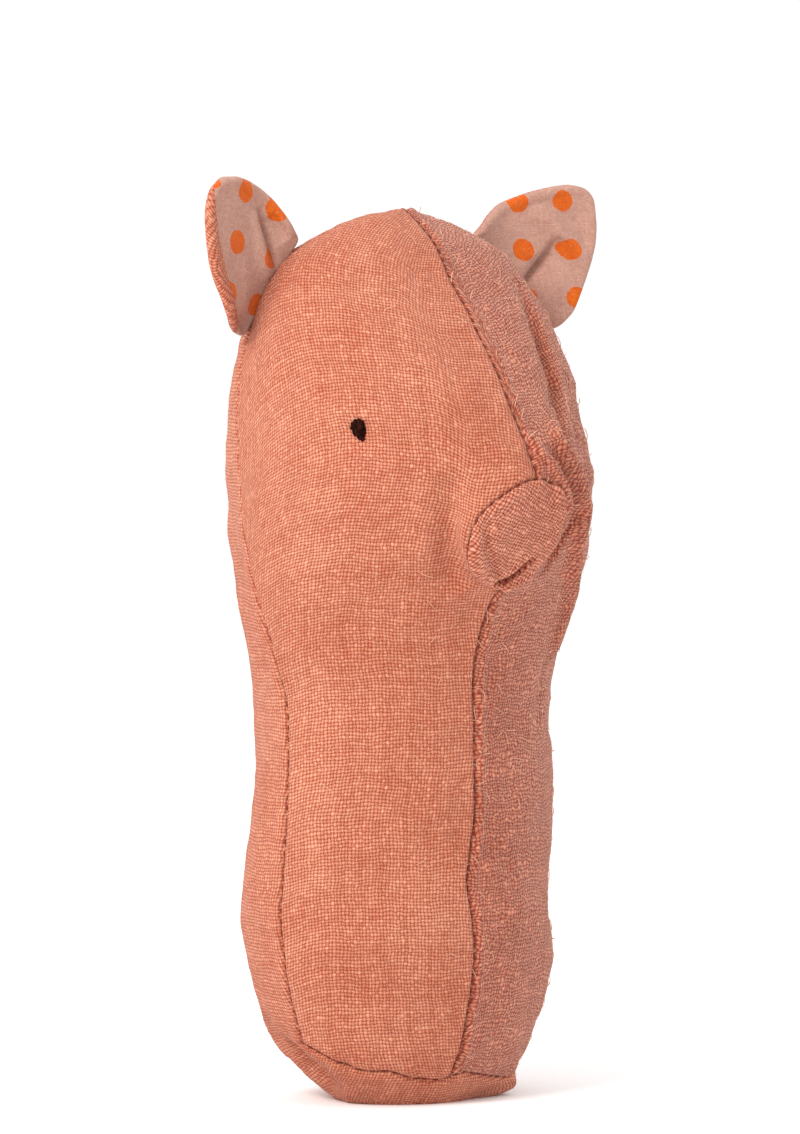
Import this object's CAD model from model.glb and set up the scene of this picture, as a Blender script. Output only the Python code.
# %% [markdown]
# # A stuffed linen rattle in the shape of a pig
# The real toy is four pieces of linen sewn together inside out, turned, and stuffed round a rattle capsule.
# Two lined ears are caught in the seams, and the eyes are knots of dark thread.
# The CAD frame holds the sizes and the joints. This script makes each piece of cloth over it, piece by piece:
# the form first, then seams and folds, then the weave.

# %% Load the frame
import math

import bpy
import numpy as np
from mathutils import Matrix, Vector
from mathutils.bvhtree import BVHTree


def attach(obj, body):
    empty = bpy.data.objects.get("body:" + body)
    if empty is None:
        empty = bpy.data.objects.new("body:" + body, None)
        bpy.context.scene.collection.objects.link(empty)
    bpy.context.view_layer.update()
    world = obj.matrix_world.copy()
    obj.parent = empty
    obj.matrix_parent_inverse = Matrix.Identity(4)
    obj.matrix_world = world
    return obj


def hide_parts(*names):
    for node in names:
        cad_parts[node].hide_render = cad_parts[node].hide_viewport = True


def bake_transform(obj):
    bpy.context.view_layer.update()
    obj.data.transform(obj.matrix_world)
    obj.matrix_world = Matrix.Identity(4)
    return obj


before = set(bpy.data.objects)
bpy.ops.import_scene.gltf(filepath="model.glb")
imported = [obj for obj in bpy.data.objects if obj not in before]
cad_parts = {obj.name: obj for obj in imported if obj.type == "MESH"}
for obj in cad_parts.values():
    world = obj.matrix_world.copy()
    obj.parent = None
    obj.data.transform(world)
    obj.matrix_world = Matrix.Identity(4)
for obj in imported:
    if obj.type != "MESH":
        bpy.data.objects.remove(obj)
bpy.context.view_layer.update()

MM = 0.001  # all sizes below are in millimetres, and a mesh gets them in metres

# %% [markdown]
# ## Camera and light
# The photograph was taken with a long lens from the toy's front right, almost level with it.
# A long lens far away keeps the outline free of perspective. The light is a large soft box on the camera's left and
# a weak one on the toy's left, in white surroundings, which leave only a faint shadow on the pale floor.

# %% Camera
PHOTO_WIDE, PHOTO_TALL = 800, 1134
PX_PER_MM = 5.95
AXIS_PX, FLOOR_PX = 400, 1098  # where the toy's axis and the floor lie in the photograph
CAMERA_TURN = math.radians(-35)
CAMERA_RISE = math.radians(3)
CAMERA_AWAY = 1300.0
SENSOR = 36.0


def direction(turn, rise):
    """The way that is turned from straight ahead towards the toy's left, and raised."""
    return np.array([math.sin(turn) * math.cos(rise), -math.cos(turn) * math.cos(rise), math.sin(rise)])


def new_object(name, data):
    thing = bpy.data.objects.new(name, data)
    bpy.context.scene.collection.objects.link(thing)
    return thing


def aimed(thing, place, way):
    """Puts a camera or a lamp at a place, with its back turned the given way."""
    thing.location = Vector(place * MM)
    thing.rotation_mode = "QUATERNION"
    thing.rotation_quaternion = Vector(way).to_track_quat("Z", "Y")


to_camera = direction(CAMERA_TURN, CAMERA_RISE)
image_right = np.array([math.cos(CAMERA_TURN), math.sin(CAMERA_TURN), 0.0])
image_up = np.cross(to_camera, image_right)
aim = np.array([0.0, 0.0, (FLOOR_PX - PHOTO_TALL / 2) / PX_PER_MM])
aim += image_right * (PHOTO_WIDE / 2 - AXIS_PX) / PX_PER_MM

lens = bpy.data.cameras.new("camera")
lens.sensor_width = SENSOR
lens.lens = SENSOR * CAMERA_AWAY * PX_PER_MM / PHOTO_TALL
camera = new_object("camera", lens)
aimed(camera, aim + to_camera * CAMERA_AWAY, to_camera)
bpy.context.scene.camera = camera
print("camera looks at", np.round(aim, 1), "mm with a lens of", round(lens.lens), "mm")

# %% Soft boxes and surroundings
LIT_PLACE = np.array([0.0, 0.0, 80.0])  # the lamps point at the middle of the toy
ROOM_LIGHT = 1.06


def soft_box(name, turn, rise, away, side, watts, tint=(1.0, 1.0, 1.0)):
    """A round lamp, at a turn and a rise in degrees."""
    lamp = bpy.data.lights.new(name, "AREA")
    lamp.shape = "DISK"
    lamp.size = side * MM
    lamp.energy = watts
    lamp.color = tint
    way = direction(math.radians(turn), math.radians(rise))
    aimed(new_object(name, lamp), way * away + LIT_PLACE, way)


soft_box("key_light", turn=-74, rise=38, away=900, side=420, watts=6.4, tint=(1.0, 0.97, 0.94))
soft_box("fill_light", turn=100, rise=45, away=1000, side=600, watts=1.8)

world = bpy.data.worlds.new("white_room")
world.use_nodes = True
background = world.node_tree.nodes["Background"]
background.inputs["Color"].default_value = (1.0, 1.0, 1.0, 1.0)
background.inputs["Strength"].default_value = ROOM_LIGHT
bpy.context.scene.world = world
bpy.context.scene.view_settings.view_transform = "Standard"
print("two soft boxes in a white room")

# %% Floor
FLOOR_HALF = 3000.0


def new_piece(name, points, faces, edges=()):
    """A smooth object from points in millimetres."""
    mesh = bpy.data.meshes.new(name)
    mesh.from_pydata((points * MM).tolist(), edges, faces)
    mesh.update()
    mesh.shade_smooth()
    return new_object(name, mesh)


def new_finish(name):
    """A material, its node tree, and the shader in it."""
    finish = bpy.data.materials.new(name)
    finish.use_nodes = True
    return finish, finish.node_tree, finish.node_tree.nodes["Principled BSDF"]


def feed(tree, node, inputs):
    """Sets inputs of a node to constants, or links them where a socket is given."""
    for key, value in inputs.items():
        if isinstance(value, bpy.types.NodeSocket):
            tree.links.new(value, node.inputs[key])
        else:
            node.inputs[key].default_value = value


floor = new_piece("floor", FLOOR_HALF * np.array([(-1, -1, 0), (1, -1, 0), (1, 1, 0), (-1, 1, 0)]), [(0, 1, 2, 3)])
floor_paint, floor_tree, floor_shader = new_finish("floor_paint")
feed(floor_tree, floor_shader, {"Base Color": (0.95, 0.95, 0.95, 1.0), "Roughness": 0.9})
floor.data.materials.append(floor_paint)
print("floor is", round(2 * FLOOR_HALF), "mm wide")

# %% [markdown]
# ## The form under the cloth
# A stuffed body is round in every section, so a few levels say all of it: a height, half the width there,
# and the reach in front of and behind the axis. A smooth curve runs through the levels.
# A point of the body is then a level and a turn about the axis, which is how seams can be drawn on it later.

# %% Body levels
LEVELS = np.array(
    [
        # height, half width, reach in front, reach behind
        (0.0, 13.0, 12.6, 8.6),  # rim of the base
        (5.0, 20.4, 16.0, 12.8),  # hem
        (12.0, 24.2, 18.9, 18.9),  # heel
        (30.0, 27.4, 21.8, 23.4),  # grip
        (47.0, 27.3, 21.5, 20.8),  # waist
        (65.0, 26.0, 22.2, 21.6),  # neck
        (79.0, 28.6, 24.0, 21.6),  # throat
        (94.0, 31.2, 30.0, 26.2),  # cheek
        (108.0, 30.2, 34.4, 29.2),  # temple
        (122.0, 28.2, 28.8, 27.8),  # brow
        (135.0, 24.6, 18.6, 21.4),  # forehead
        (143.7, 17.0, 10.3, 12.0),  # poll
        (148.9, 0.0, 0.5, -0.5),  # crown
    ]
)
CROWN = len(LEVELS) - 1
FRONT = -math.pi / 2  # the turn that looks along the snout


def through(knots, place):
    """A smooth curve through the body's levels; place counts the rows."""
    rows = np.vstack([knots[:1], knots, 2 * knots[-1:] - knots[-2:-1]])
    rows[-1, 0] = knots[-2, 0]  # past the crown the body would go down again
    start = np.clip(np.floor(place).astype(int), 0, len(knots) - 2)
    w = (place - start)[..., None]
    a, b, c, d = (rows[start + k] for k in range(4))
    return b + w * (c - a) / 2 + w**2 * (a - 2.5 * b + 2 * c - d / 2) + w**3 * (1.5 * (b - c) + (d - a) / 2)


def section(level):
    """Height, half width, middle and half depth of the body; a level under 0 lies on the sole."""
    height, wide, front, back = np.moveaxis(through(LEVELS, np.clip(level, 0, CROWN)), -1, 0)
    shrink = 1 + np.clip(level, -1, 0)
    return height, wide * shrink, (back - front) / 2, (back + front) / 2 * shrink


LEVEL_STEPS = np.linspace(0, CROWN, 1201)
LEVEL_HEIGHTS = section(LEVEL_STEPS)[0]


def level_at(height):
    return np.interp(height, LEVEL_HEIGHTS, LEVEL_STEPS)


def bare_body(turn, level):
    height, wide, middle, deep = section(level)
    return np.stack([wide * np.cos(turn), middle + deep * np.sin(turn), height + 0 * turn], -1)


print("body is", round(float(LEVEL_HEIGHTS[-1]), 1), "mm tall")

# %% [markdown]
# The snout is a round end that stands out from the face and leans forward. On the real toy the face panels reach
# right up to it, so it isn't a part of its own: it pulls the cloth of the face out with it, and the pull fades
# with the distance. It fades slowly up the bridge of the nose and fast under the chin, which leaves a fold there.

# %% Snout
SNOUT_MIDDLE = np.array([0.6, -32.9, 95.7])
SNOUT_LEAN = math.radians(27)
SNOUT_YAW = math.radians(7)
# The disc was cut by hand and pulled out of round: turns round it in degrees, then the rim's radius.
SNOUT_RIM = np.array(
    [(-180, 10.7), (-165, 9.8), (-142, 9.2), (-116, 9.5), (-90, 10.4), (-68, 10.0), (-44, 9.3), (-19, 8.9), (-5, 8.8),
     (13, 8.7), (33, 9.1), (52, 9.9), (74, 10.8), (90, 11.0), (107, 10.7), (122, 10.3), (138, 10.4), (153, 11.1),
     (166, 11.2), (180, 10.7)]
)
RIM_SOFT = 12  # degrees over which the rim's radius is evened out
BRIDGE_REACH, CHEEK_REACH, CHIN_REACH = 17.0, 10.0, 6.0

snout_out = direction(SNOUT_YAW, -SNOUT_LEAN)
snout_side = np.array([math.cos(SNOUT_YAW), math.sin(SNOUT_YAW), 0.0])
snout_up = np.cross(snout_out, snout_side)


def rim_radius(angle):
    degrees = (np.degrees(angle) + 180) % 360 - 180
    around = np.arange(-180, 181)
    table = np.interp(around, *SNOUT_RIM.T)[:-1]
    window = np.full(2 * RIM_SOFT + 1, 1 / (2 * RIM_SOFT + 1))
    soft = np.convolve(np.concatenate([table[-RIM_SOFT:], table, table[:RIM_SOFT]]), window, "valid")
    return np.interp(degrees, around, np.append(soft, soft[0]))


def radial(angle):
    """The way from the snout's middle to its rim; angle 0 is on the toy's left and a quarter turn is on top."""
    return np.cos(angle)[..., None] * snout_side + np.sin(angle)[..., None] * snout_up


def snout_rim(angle):
    """The seam round the snout."""
    return SNOUT_MIDDLE + rim_radius(angle)[..., None] * radial(angle)


def turn_at(x, level):
    """The turn of a point of the front of the body that lies x to the left of the middle."""
    return FRONT + np.arcsin(np.clip(x / np.maximum(section(level)[1], 1e-6), -1, 1))


print("the snout's rim is", round(float(np.ptp(SNOUT_RIM[:, 1])), 1), "mm out of round")

# %% The form with its snout
RIM_ANGLES = np.linspace(-math.pi, math.pi, 361)
RIM_POINTS = snout_rim(RIM_ANGLES)
RIM_LEVELS = level_at(RIM_POINTS[:, 2])
RIM_PULL = bare_body(turn_at(RIM_POINTS[:, 0], RIM_LEVELS), RIM_LEVELS)[:, 1] - RIM_POINTS[:, 1]


def snout_polar(points):
    """Distance from the snout's middle and angle round it, as seen from straight ahead."""
    up = (points[..., 2] - SNOUT_MIDDLE[2]) / snout_up[2]
    side = (points[..., 0] - SNOUT_MIDDLE[0] - up * snout_up[0]) / snout_side[0]
    return np.hypot(side, up), np.arctan2(up, side)


def smooth(x):
    x = np.clip(x, 0, 1)
    return x * x * (3 - 2 * x)


def form(turn, level):
    """A point of the stuffed body with its snout, before any seam or fold."""
    points = bare_body(turn, level)
    away, angle = snout_polar(points)
    rise = np.sin(angle)
    reach = CHEEK_REACH + np.where(rise > 0, BRIDGE_REACH - CHEEK_REACH, CHIN_REACH - CHEEK_REACH) * rise**2
    fade = np.clip(1 - np.maximum(away - rim_radius(angle), 0) / reach, 0, 1) ** 2
    pull = np.interp(angle, RIM_ANGLES, RIM_PULL) * fade * (np.sin(turn) < 0)
    points[..., 1] -= pull
    return points


SOLE_POLE, CROWN_POLE = -0.97, CROWN - 0.04  # past these levels the form has no clear way out
SOLE_FROM = -0.02  # below this level the cloth faces straight down


def unit(ways):
    return ways / np.maximum(np.linalg.norm(ways, axis=-1, keepdims=True), 1e-12)


def outward(turn, level):
    """The way out of the cloth, square to the form."""
    step = 0.01
    level = np.clip(level, SOLE_POLE, CROWN_POLE)
    along_turn = form(turn + step, level) - form(turn - step, level)
    along_level = form(turn, level + step) - form(turn, level - step)
    way = unit(np.cross(along_turn, along_level))
    way[level < SOLE_FROM] = (0, 0, -1)
    return way


print("the snout pulls the face out by", round(RIM_PULL.min(), 1), "to", round(RIM_PULL.max(), 1), "mm")

# %% [markdown]
# ## Seams
# Every seam is a line on the form, given as places that were measured on the photograph.
# The front seam wanders a little from the middle, as hand-guided sewing does. The side seam runs from
# the base over the crown, and the base seam runs round the front of the toes.

# %% Seam lines
# Front seam: height, then how far it strays to the toy's left.
FRONT_SEAM = np.array(
    [(0, -1.0), (5, -1.0), (12, 0.0), (24, 0.6), (38, -1.5), (48, 0.3), (60, 0.0), (75, -0.9), (82, -0.2)]
)
FACE_SEAM = np.array([(112, 0.4), (120, -0.3), (127, -0.6), (138, -0.8), (144, 0.2), (148.9, 0.0)])
# Side seam: height, then its turn past the toy's side, towards the back.
SIDE_SEAM = np.array(
    [(0, -12), (12, -12.2), (30, -11.7), (47, -12.1), (65, -9.5), (79, -3), (94, 5.9), (108, 14.2), (122, 18.3),
     (135, 15), (144, 13), (148.9, 10)]
)
# Base seam: turn from straight ahead, positive to the toy's left, then its height.
BASE_SEAM = np.array(
    [(-80, 10.5), (-70, 9.2), (-58, 7.0), (-46, 5.9), (-34, 6.2), (-22, 4.7), (-8, 4.2), (4, 5.3), (16, 4.5), (30, 3.7),
     (44, 3.1), (56, 4.0), (66, 6.6), (74, 9.2), (80, 10.5)]
)
SEAM_CORNER_HEIGHT = 10.5
EASE_STEPS, EASE_REACH = 400, 12


def eased(table, place):
    """Reads a two-column table smoothly, without corners at its rows."""
    fine = np.linspace(table[0, 0], table[-1, 0], EASE_STEPS)
    values = np.pad(np.interp(fine, table[:, 0], table[:, 1]), EASE_REACH, mode="edge")
    window = np.hanning(2 * EASE_REACH + 1)
    return np.interp(place, fine, np.convolve(values, window / window.sum(), "valid"))


BELOW_PLACES, RING_PLACES, ABOVE_PLACES = 200, 120, 260  # along the middle edge of a face panel
rim_low, rim_high = snout_rim(np.array([-math.pi / 2, math.pi / 2]))
FRONT_SEAM = np.vstack([FRONT_SEAM, (rim_low[2], rim_low[0])])
FACE_SEAM = np.vstack([(rim_high[2], rim_high[0]), FACE_SEAM])


def side_turn(level):
    return np.radians(eased(SIDE_SEAM, section(level)[0]))


def base_level(turn):
    """The level of the base seam at a turn; turns are read from straight ahead."""
    return level_at(eased(BASE_SEAM, np.degrees(turn - FRONT)))


def run_along(points):
    """How far each point of a chain lies from its start."""
    return np.concatenate([[0], np.cumsum(np.linalg.norm(np.diff(points, axis=0), axis=1))])


def spread(points, count):
    """Places along a chain of points, evenly spaced, as fractions of the chain's rows."""
    run = run_along(points)
    return np.interp(np.linspace(0, run[-1], count), run, np.arange(len(points)))


def pick(table, place, rows=None):
    """Reads a table between its rows, which are counted unless their places are given."""
    rows = np.arange(len(table)) if rows is None else rows
    return np.stack([np.interp(place, rows, column) for column in table.T], -1)


corner_level = float(level_at(SEAM_CORNER_HEIGHT))


def middle_edge(side):
    """The panel's edge down the middle of the face, round one half of the snout: turns and levels."""
    heights = np.linspace(float(section(base_level(np.array(FRONT)))[0]), rim_low[2], BELOW_PLACES)
    low = level_at(heights)
    below = np.stack([turn_at(eased(FRONT_SEAM, heights), low), low], -1)
    angles = np.linspace(-math.pi / 2, math.pi / 2, RING_PLACES)
    ring = snout_rim(angles if side > 0 else math.pi - angles)
    level = level_at(ring[:, 2])
    round_snout = np.stack([turn_at(ring[:, 0], level), level], -1)
    level = np.linspace(float(level_at(rim_high[2])), CROWN, ABOVE_PLACES)
    above = np.stack([turn_at(eased(FACE_SEAM, section(level)[0]), level), level], -1)
    return below, round_snout, above


# %% [markdown]
# ## Cloth from a grid of places
# Each panel is a grid: one way across from the front seam to the side seam, the other way up from the base seam.
# The grid is closer at the seams, where the cloth turns sharply. The cloth's threads can't stretch, so
# the distances run along the form across and along each row, and these become the panel's UV map in millimetres.
# The weave is drawn on that map and follows the body as real threads do.

# %% Thread map
MAP_TURNS = np.linspace(-1.5 * math.pi, 0.5 * math.pi, 721)  # the grain of a face panel starts in the middle of it
MAP_LEVELS = np.concatenate([np.linspace(-1, 0, 20)[:-1], np.linspace(0, CROWN, 700)])
COUNT_HEIGHT = 55.0  # lengths up the cloth are counted from this height


def thread_map():
    """Lengths along the form, across and upwards, on a grid of turns and levels."""
    turns, levels = np.meshgrid(MAP_TURNS, MAP_LEVELS, indexing="ij")
    points = form(turns, levels)
    across = np.linalg.norm(np.diff(points, axis=0), axis=-1)
    upward = np.linalg.norm(np.diff(points, axis=1), axis=-1)
    across = np.concatenate([np.zeros((1, across.shape[1])), np.cumsum(across, 0)], 0)
    upward = np.concatenate([np.zeros((upward.shape[0], 1)), np.cumsum(upward, 1)], 1)
    start = int(np.argmin(abs(MAP_LEVELS - level_at(COUNT_HEIGHT))))
    return across, upward - upward[:, start : start + 1]


MAP_ACROSS, MAP_UPWARD = thread_map()


def read_map(values, turn, level):
    u = np.interp(turn, MAP_TURNS, np.arange(len(MAP_TURNS)))
    v = np.interp(level, MAP_LEVELS, np.arange(len(MAP_LEVELS)))
    i = np.clip(u.astype(int), 0, len(MAP_TURNS) - 2)
    j = np.clip(v.astype(int), 0, len(MAP_LEVELS) - 2)
    a, b = u - i, v - j
    low = values[i, j] * (1 - a) + values[i + 1, j] * a
    high = values[i, j + 1] * (1 - a) + values[i + 1, j + 1] * a
    return low * (1 - b) + high * b


def thread_place(turn, level, grain_turn):
    """The place of a point on the flat cloth, counted from the grain line at grain_turn."""
    u = read_map(MAP_ACROSS, turn, level) - read_map(MAP_ACROSS, grain_turn + 0 * turn, level)
    return np.stack([u, read_map(MAP_UPWARD, turn, level)], -1)


print("thread map has", MAP_ACROSS.shape, "places")

# %% Distances to seams and fold lines
def resampled(points, step=0.5):
    """The same chain with points at even steps; columns after the first three go with them."""
    run = run_along(points[:, :3])
    return pick(points, np.linspace(0, run[-1], max(int(run[-1] / step), 2)), run)


def to_line(points, line):
    """Distance of each point from a chain of points, and how far along the chain the nearest place is."""
    flat = points.reshape(-1, points.shape[-1])
    a, b = line[:-1], line[1:]
    span = b - a
    length = np.linalg.norm(span, axis=1)
    run = np.concatenate([[0], np.cumsum(length)])
    nearest = np.full(len(flat), 1e9)
    along = np.zeros(len(flat))
    for start, way, size, before in zip(a, span, length, run):
        w = np.clip((flat - start) @ way / max(size, 1e-9) ** 2, 0, 1)
        gap = np.linalg.norm(flat - start - w[:, None] * way, axis=1)
        closer = gap < nearest
        nearest[closer] = gap[closer]
        along[closer] = before + w[closer] * size
    return nearest.reshape(points.shape[:-1]), along.reshape(points.shape[:-1])


def on_form(places):
    return form(places[:, 0], places[:, 1])


def seam_line(turn, level):
    """Points of a seam on the form, with the way out beside each."""
    return resampled(np.hstack([form(turn, level), outward(turn, level)]))


# %% Seams as chains of points
RIM_AHEAD, RIM_ASIDE = 0.6, 0.8  # the cloth at the rim of the snout faces ahead and aside by these shares


def rim_way(angle):
    return RIM_AHEAD * snout_out + RIM_ASIDE * radial(angle)


edge_low, _, edge_high = middle_edge(1)
seam_levels = np.linspace(corner_level, CROWN, 300)
base_turns = FRONT + np.radians(np.linspace(*BASE_SEAM[[0, -1], 0], 240))
ring_angles = np.linspace(-math.pi, math.pi, 200)
SEAM_LINES = {
    "front": seam_line(*edge_low.T),
    "face": seam_line(*edge_high.T),
    "snout": resampled(np.hstack([snout_rim(ring_angles), rim_way(ring_angles)])),
    "left": seam_line(side_turn(seam_levels), seam_levels),
    "right": seam_line(math.pi - side_turn(seam_levels), seam_levels),
    "base": seam_line(base_turns, base_level(base_turns)),
}
SEAMS = {name: line[:, :3] for name, line in SEAM_LINES.items()}
for name, line in SEAMS.items():
    print(name, "seam:", round(float(run_along(line)[-1])), "mm")

# %% [markdown]
# ## Seams pull in and folds stand up
# A seam is a narrow valley, because the thread pulls both edges in, with a soft roll of cloth on each side where the
# turned-in edges lie beneath. Small puckers run away from it. Folds are ridges and valleys along lines.
# The lines of the large ones were read off the photograph and are given as seen from its camera.

# %% Measures of seams and puckers
SEAM_SINK, SEAM_WIDTH = 0.6, 0.32
FACE_SINK_SHARE, SNOUT_SINK_SHARE = 0.6, 0.3  # of that depth, above the snout and where the snout's seam is hidden
ROLL_RISE, ROLL_AWAY, ROLL_WIDTH = 0.12, 1.3, 0.8
LEFT_ROLL_RISE, LEFT_ROLL_AWAY = 0.35, 1.1  # a thicker roll runs down the toy's left of the front seam
LEFT_FROM, LEFT_RAMP = 0.2, 0.6  # where the toy's left starts, beside its middle
PUCKER_RISE, PUCKER_FADE = 0.16, 3.2
BUMPS = [(0.18, 24, 5), (0.12, 9, 6), (0.05, 3.5, 7)]  # height, size and seed of the unevenness of stuffed cloth

# %% The camera's view of the form
SEEN_TRIES = 8
SEEN_STEP, SEEN_RISE = 0.7, 0.8  # the share of the gap that each try closes, across and upwards
SEEN_STRAY = 6  # where the form turns away from the camera, the search strays no farther than this


def seen(across, up):
    """The place on the front of the form that the photograph's camera sees that far right of the axis and up."""
    reach, height = across + 0.0, up + 0.0
    for _ in range(SEEN_TRIES):
        level = level_at(height)
        _, wide, middle, deep = section(level)
        size = np.hypot(image_right[0] * wide, image_right[1] * deep)
        lead = np.arctan2(image_right[1] * deep, image_right[0] * wide)
        turn = lead - np.arccos(np.clip((reach - image_right[1] * middle) / size, -1, 1))
        points = form(turn, level)
        reach = reach + SEEN_STEP * (across - points @ image_right)
        reach = np.clip(reach, across - SEEN_STRAY, across + SEEN_STRAY)
        height = height + SEEN_RISE * (up - points @ image_up)
    return turn, level


# %% Folds read off the photograph
# Each fold: how far it stands out, half its width, and its line as (across, up) pairs in the photograph's view.
FOLDS_SEEN = [
    # the cheek on the toy's left, from the snout outwards
    (2.0, 1.2, [(20.6, 111), (21.5, 109.6), (24.8, 105.4), (26.9, 100.3), (26.9, 95.6)]),
    (-3.0, 1.4, [(24.7, 109.6), (27.6, 103.5), (28.4, 99.8), (28.1, 95.6), (25.9, 91.3), (23.5, 88)]),
    (2.3, 1.6, [(25.7, 115.5), (25.9, 110.6), (29.1, 105.2), (29.9, 99.8), (29.1, 92.4), (28.1, 84.9), (26.1, 77),
                (24.7, 72.3)]),
    (-1.8, 1.3, [(28.9, 108.9), (30.4, 104.2), (30.8, 99.8), (30.3, 95.5), (29.2, 91.1)]),
    (-2.8, 1.9, [(19.5, 137.3), (23.5, 127.4), (26.2, 119.3), (26.7, 112.6), (28.9, 107.2)]),
    # the cheek on the toy's right: a hollow beside the snout, and a puffed roll along the disc
    (-2.5, 2.6, [(9.6, 105), (8.4, 101.8), (7.7, 98), (7.9, 92.9), (8.7, 87.9), (10, 85)]),
    (2.3, 1.3, [(9.7, 98), (10.6, 92.9), (12.4, 89.4), (15.1, 86.7)]),
    # puckers under the eye
    (0.22, 0.9, [(-8.1, 109.6), (-8.6, 107.2), (-8.4, 104.2)]),
    (-0.22, 0.8, [(-7.4, 109.6), (-7.6, 106.9), (-7.4, 103.9)]),
    (0.25, 0.9, [(-6.7, 109.6), (-6.7, 106.9), (-6.4, 103.9)]),
    (-0.2, 0.8, [(-6.0, 109.6), (-5.5, 107), (-5.1, 104.6)]),
    (0.2, 0.9, [(-5.5, 109.9), (-4.7, 107.6), (-4.0, 105.2)]),
    # throat, and the creases above the base seam
    (-0.45, 1.8, [(-21, 80.5), (-22.5, 74.5), (-24, 68.5)]),
    (-0.5, 1.4, [(24.6, 74.5), (23.6, 68.5), (23.0, 60.5)]),
    (-0.5, 0.8, [(-10.8, 9.2), (-9.2, 6.6), (-8.0, 3.6)]),
    (-0.4, 0.7, [(2.2, 7.4), (3.2, 5.2), (4.0, 3.0)]),
]
# Broad swellings that bring the outline to the photograph's, in the same form.
SWELLINGS = [
    (-2.8, 5.0, [(29.6, 120), (30.8, 113.6), (31.8, 108.2), (31.8, 103)]),
    (0.6, 6.0, [(31.9, 96.5), (31.1, 89.1), (29.4, 80.7)]),
    (-1.6, 6.5, [(-28.8, 104), (-28.9, 99), (-28.4, 91.3), (-26.9, 82.7)]),
    (1.2, 6.0, [(25.5, 30.1), (24.9, 20.7), (23.5, 12.9)]),
    (-0.5, 6.0, [(-24.0, 61.3), (-24.2, 49.8)]),
    (0.7, 6.0, [(25.0, 61.3), (25.5, 48.9)]),
    (-0.5, 4.5, [(26.4, 76.3), (25.0, 68.4)]),
    (-1.6, 6.0, [(-21.3, 10.9), (-17.5, 5.5), (-11.9, 1.2)]),
    (-3.1, 3.5, [(-23.0, 13.5), (-21.0, 8.5), (-17.0, 4.5), (-13.0, 1.8), (-9.0, 0.6)]),
    (-0.8, 5.0, [(25.9, 42), (26.2, 30), (26.0, 24)]),
]
CORNER_SEEN = (16.0, 0.9)  # where the base seam ends in a poked-out corner at the toy's front left
CORNER_OUT, CORNER_WIDE = 4.4, 4.2


def bell(x):
    return np.exp(-(x**2))


def fold_height(points, line, rise, width):
    """A ridge, or a valley where rise is negative, that fades out towards both ends of its line."""
    near = np.linalg.norm(points - line.mean(0), axis=-1) < np.ptp(line, axis=0).max() + 4 * width
    height = np.zeros(points.shape[:-1])
    if near.any():
        away, along = to_line(points[near], line)
        total = np.linalg.norm(np.diff(line, axis=0), axis=1).sum()
        ends = np.sin(np.clip(along / total, 0, 1) * math.pi) ** 0.6
        height[near] = rise * ends * bell(away / width)
    return height


EYE_SEEN = (-7.0, 111.7)  # the toy's right eye in the photograph's view, like the folds
LEFT_EYE_BACK = math.radians(22)  # the left eye sits this much farther round, for it doesn't show in the photograph
EYE_DENT, EYE_DENT_WIDE = 0.55, 2.3


def eye_place(side):
    """Turn and level of an eye; side is 1 for the toy's left."""
    turn, level = seen(*(np.array(value) for value in EYE_SEEN))
    return (turn if side < 0 else 2 * FRONT - turn + LEFT_EYE_BACK), level


EYE_MIDDLES = [form(*eye_place(side)) for side in (-1, 1)]
SPOT_STEP, LINE_STEP = 1.0, 0.8  # between the places of a fold in the photograph's view, and on the form
FOLD_LINES = []
for rise, width, places in FOLDS_SEEN + SWELLINGS:
    spots = resampled(np.array(places, float), SPOT_STEP)
    FOLD_LINES.append((rise, width, resampled(form(*seen(spots[:, 0], spots[:, 1])), LINE_STEP)))
corner_place = form(*seen(*(np.array([value]) for value in CORNER_SEEN)))[0]

# %% Unevenness
WAVES, WAVE_SPREAD = 14, (0.7, 1.6)
PUCKER_LENGTHS, PUCKER_SCALE = (3.1, 4.7, 6.4, 9.5), 2.2


def waves(points, size, seed):
    """Gentle bumps of about the given size, the same on every run."""
    chance = np.random.default_rng(seed)
    height = np.zeros(points.shape[:-1])
    for _ in range(WAVES):
        way = chance.normal(size=3)
        way *= 2 * math.pi / (size * chance.uniform(*WAVE_SPREAD)) / np.linalg.norm(way)
        height += np.sin(points @ way + chance.uniform(0, 2 * math.pi))
    return height / WAVES**0.5


def pucker(along, seed):
    """Ripples along a seam, -1 to 1, that come at uneven distances."""
    chance = np.random.default_rng(seed)
    ripple = 0 * along
    for length in PUCKER_LENGTHS:
        ripple = ripple + np.sin(2 * math.pi * along / length + chance.uniform(0, 6.28)) * chance.uniform(0.6, 1)
    return ripple / PUCKER_SCALE


# %% From the form to the cloth's surface
FOLD_LEAN = 1.0  # how much a deep valley runs in along the photograph's view, where it is seen dark to the bottom
LEAN_RISE, LEAN_WIDTH = -1, 2  # a valley leans where it is at least this deep and at most this wide


def fold_way(rise, width, out):
    """Ridges and soft hollows move straight out and in; a deep and narrow valley leans."""
    return out if rise > LEAN_RISE or width > LEAN_WIDTH else unit(out + FOLD_LEAN * to_camera)


SHOWS_FROM, SHOWS_TO, SHOWS_RAMPS = 30, 172, (30, 16)  # turns round the snout, in degrees


def snout_seam_shows(angle):
    """Puffed cloth hides the seam round the snout, but for its upper right where it is pulled tight."""
    degrees = np.degrees(angle)
    return smooth((degrees - SHOWS_FROM) / SHOWS_RAMPS[0]) * smooth((SHOWS_TO - degrees) / SHOWS_RAMPS[1])


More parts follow.
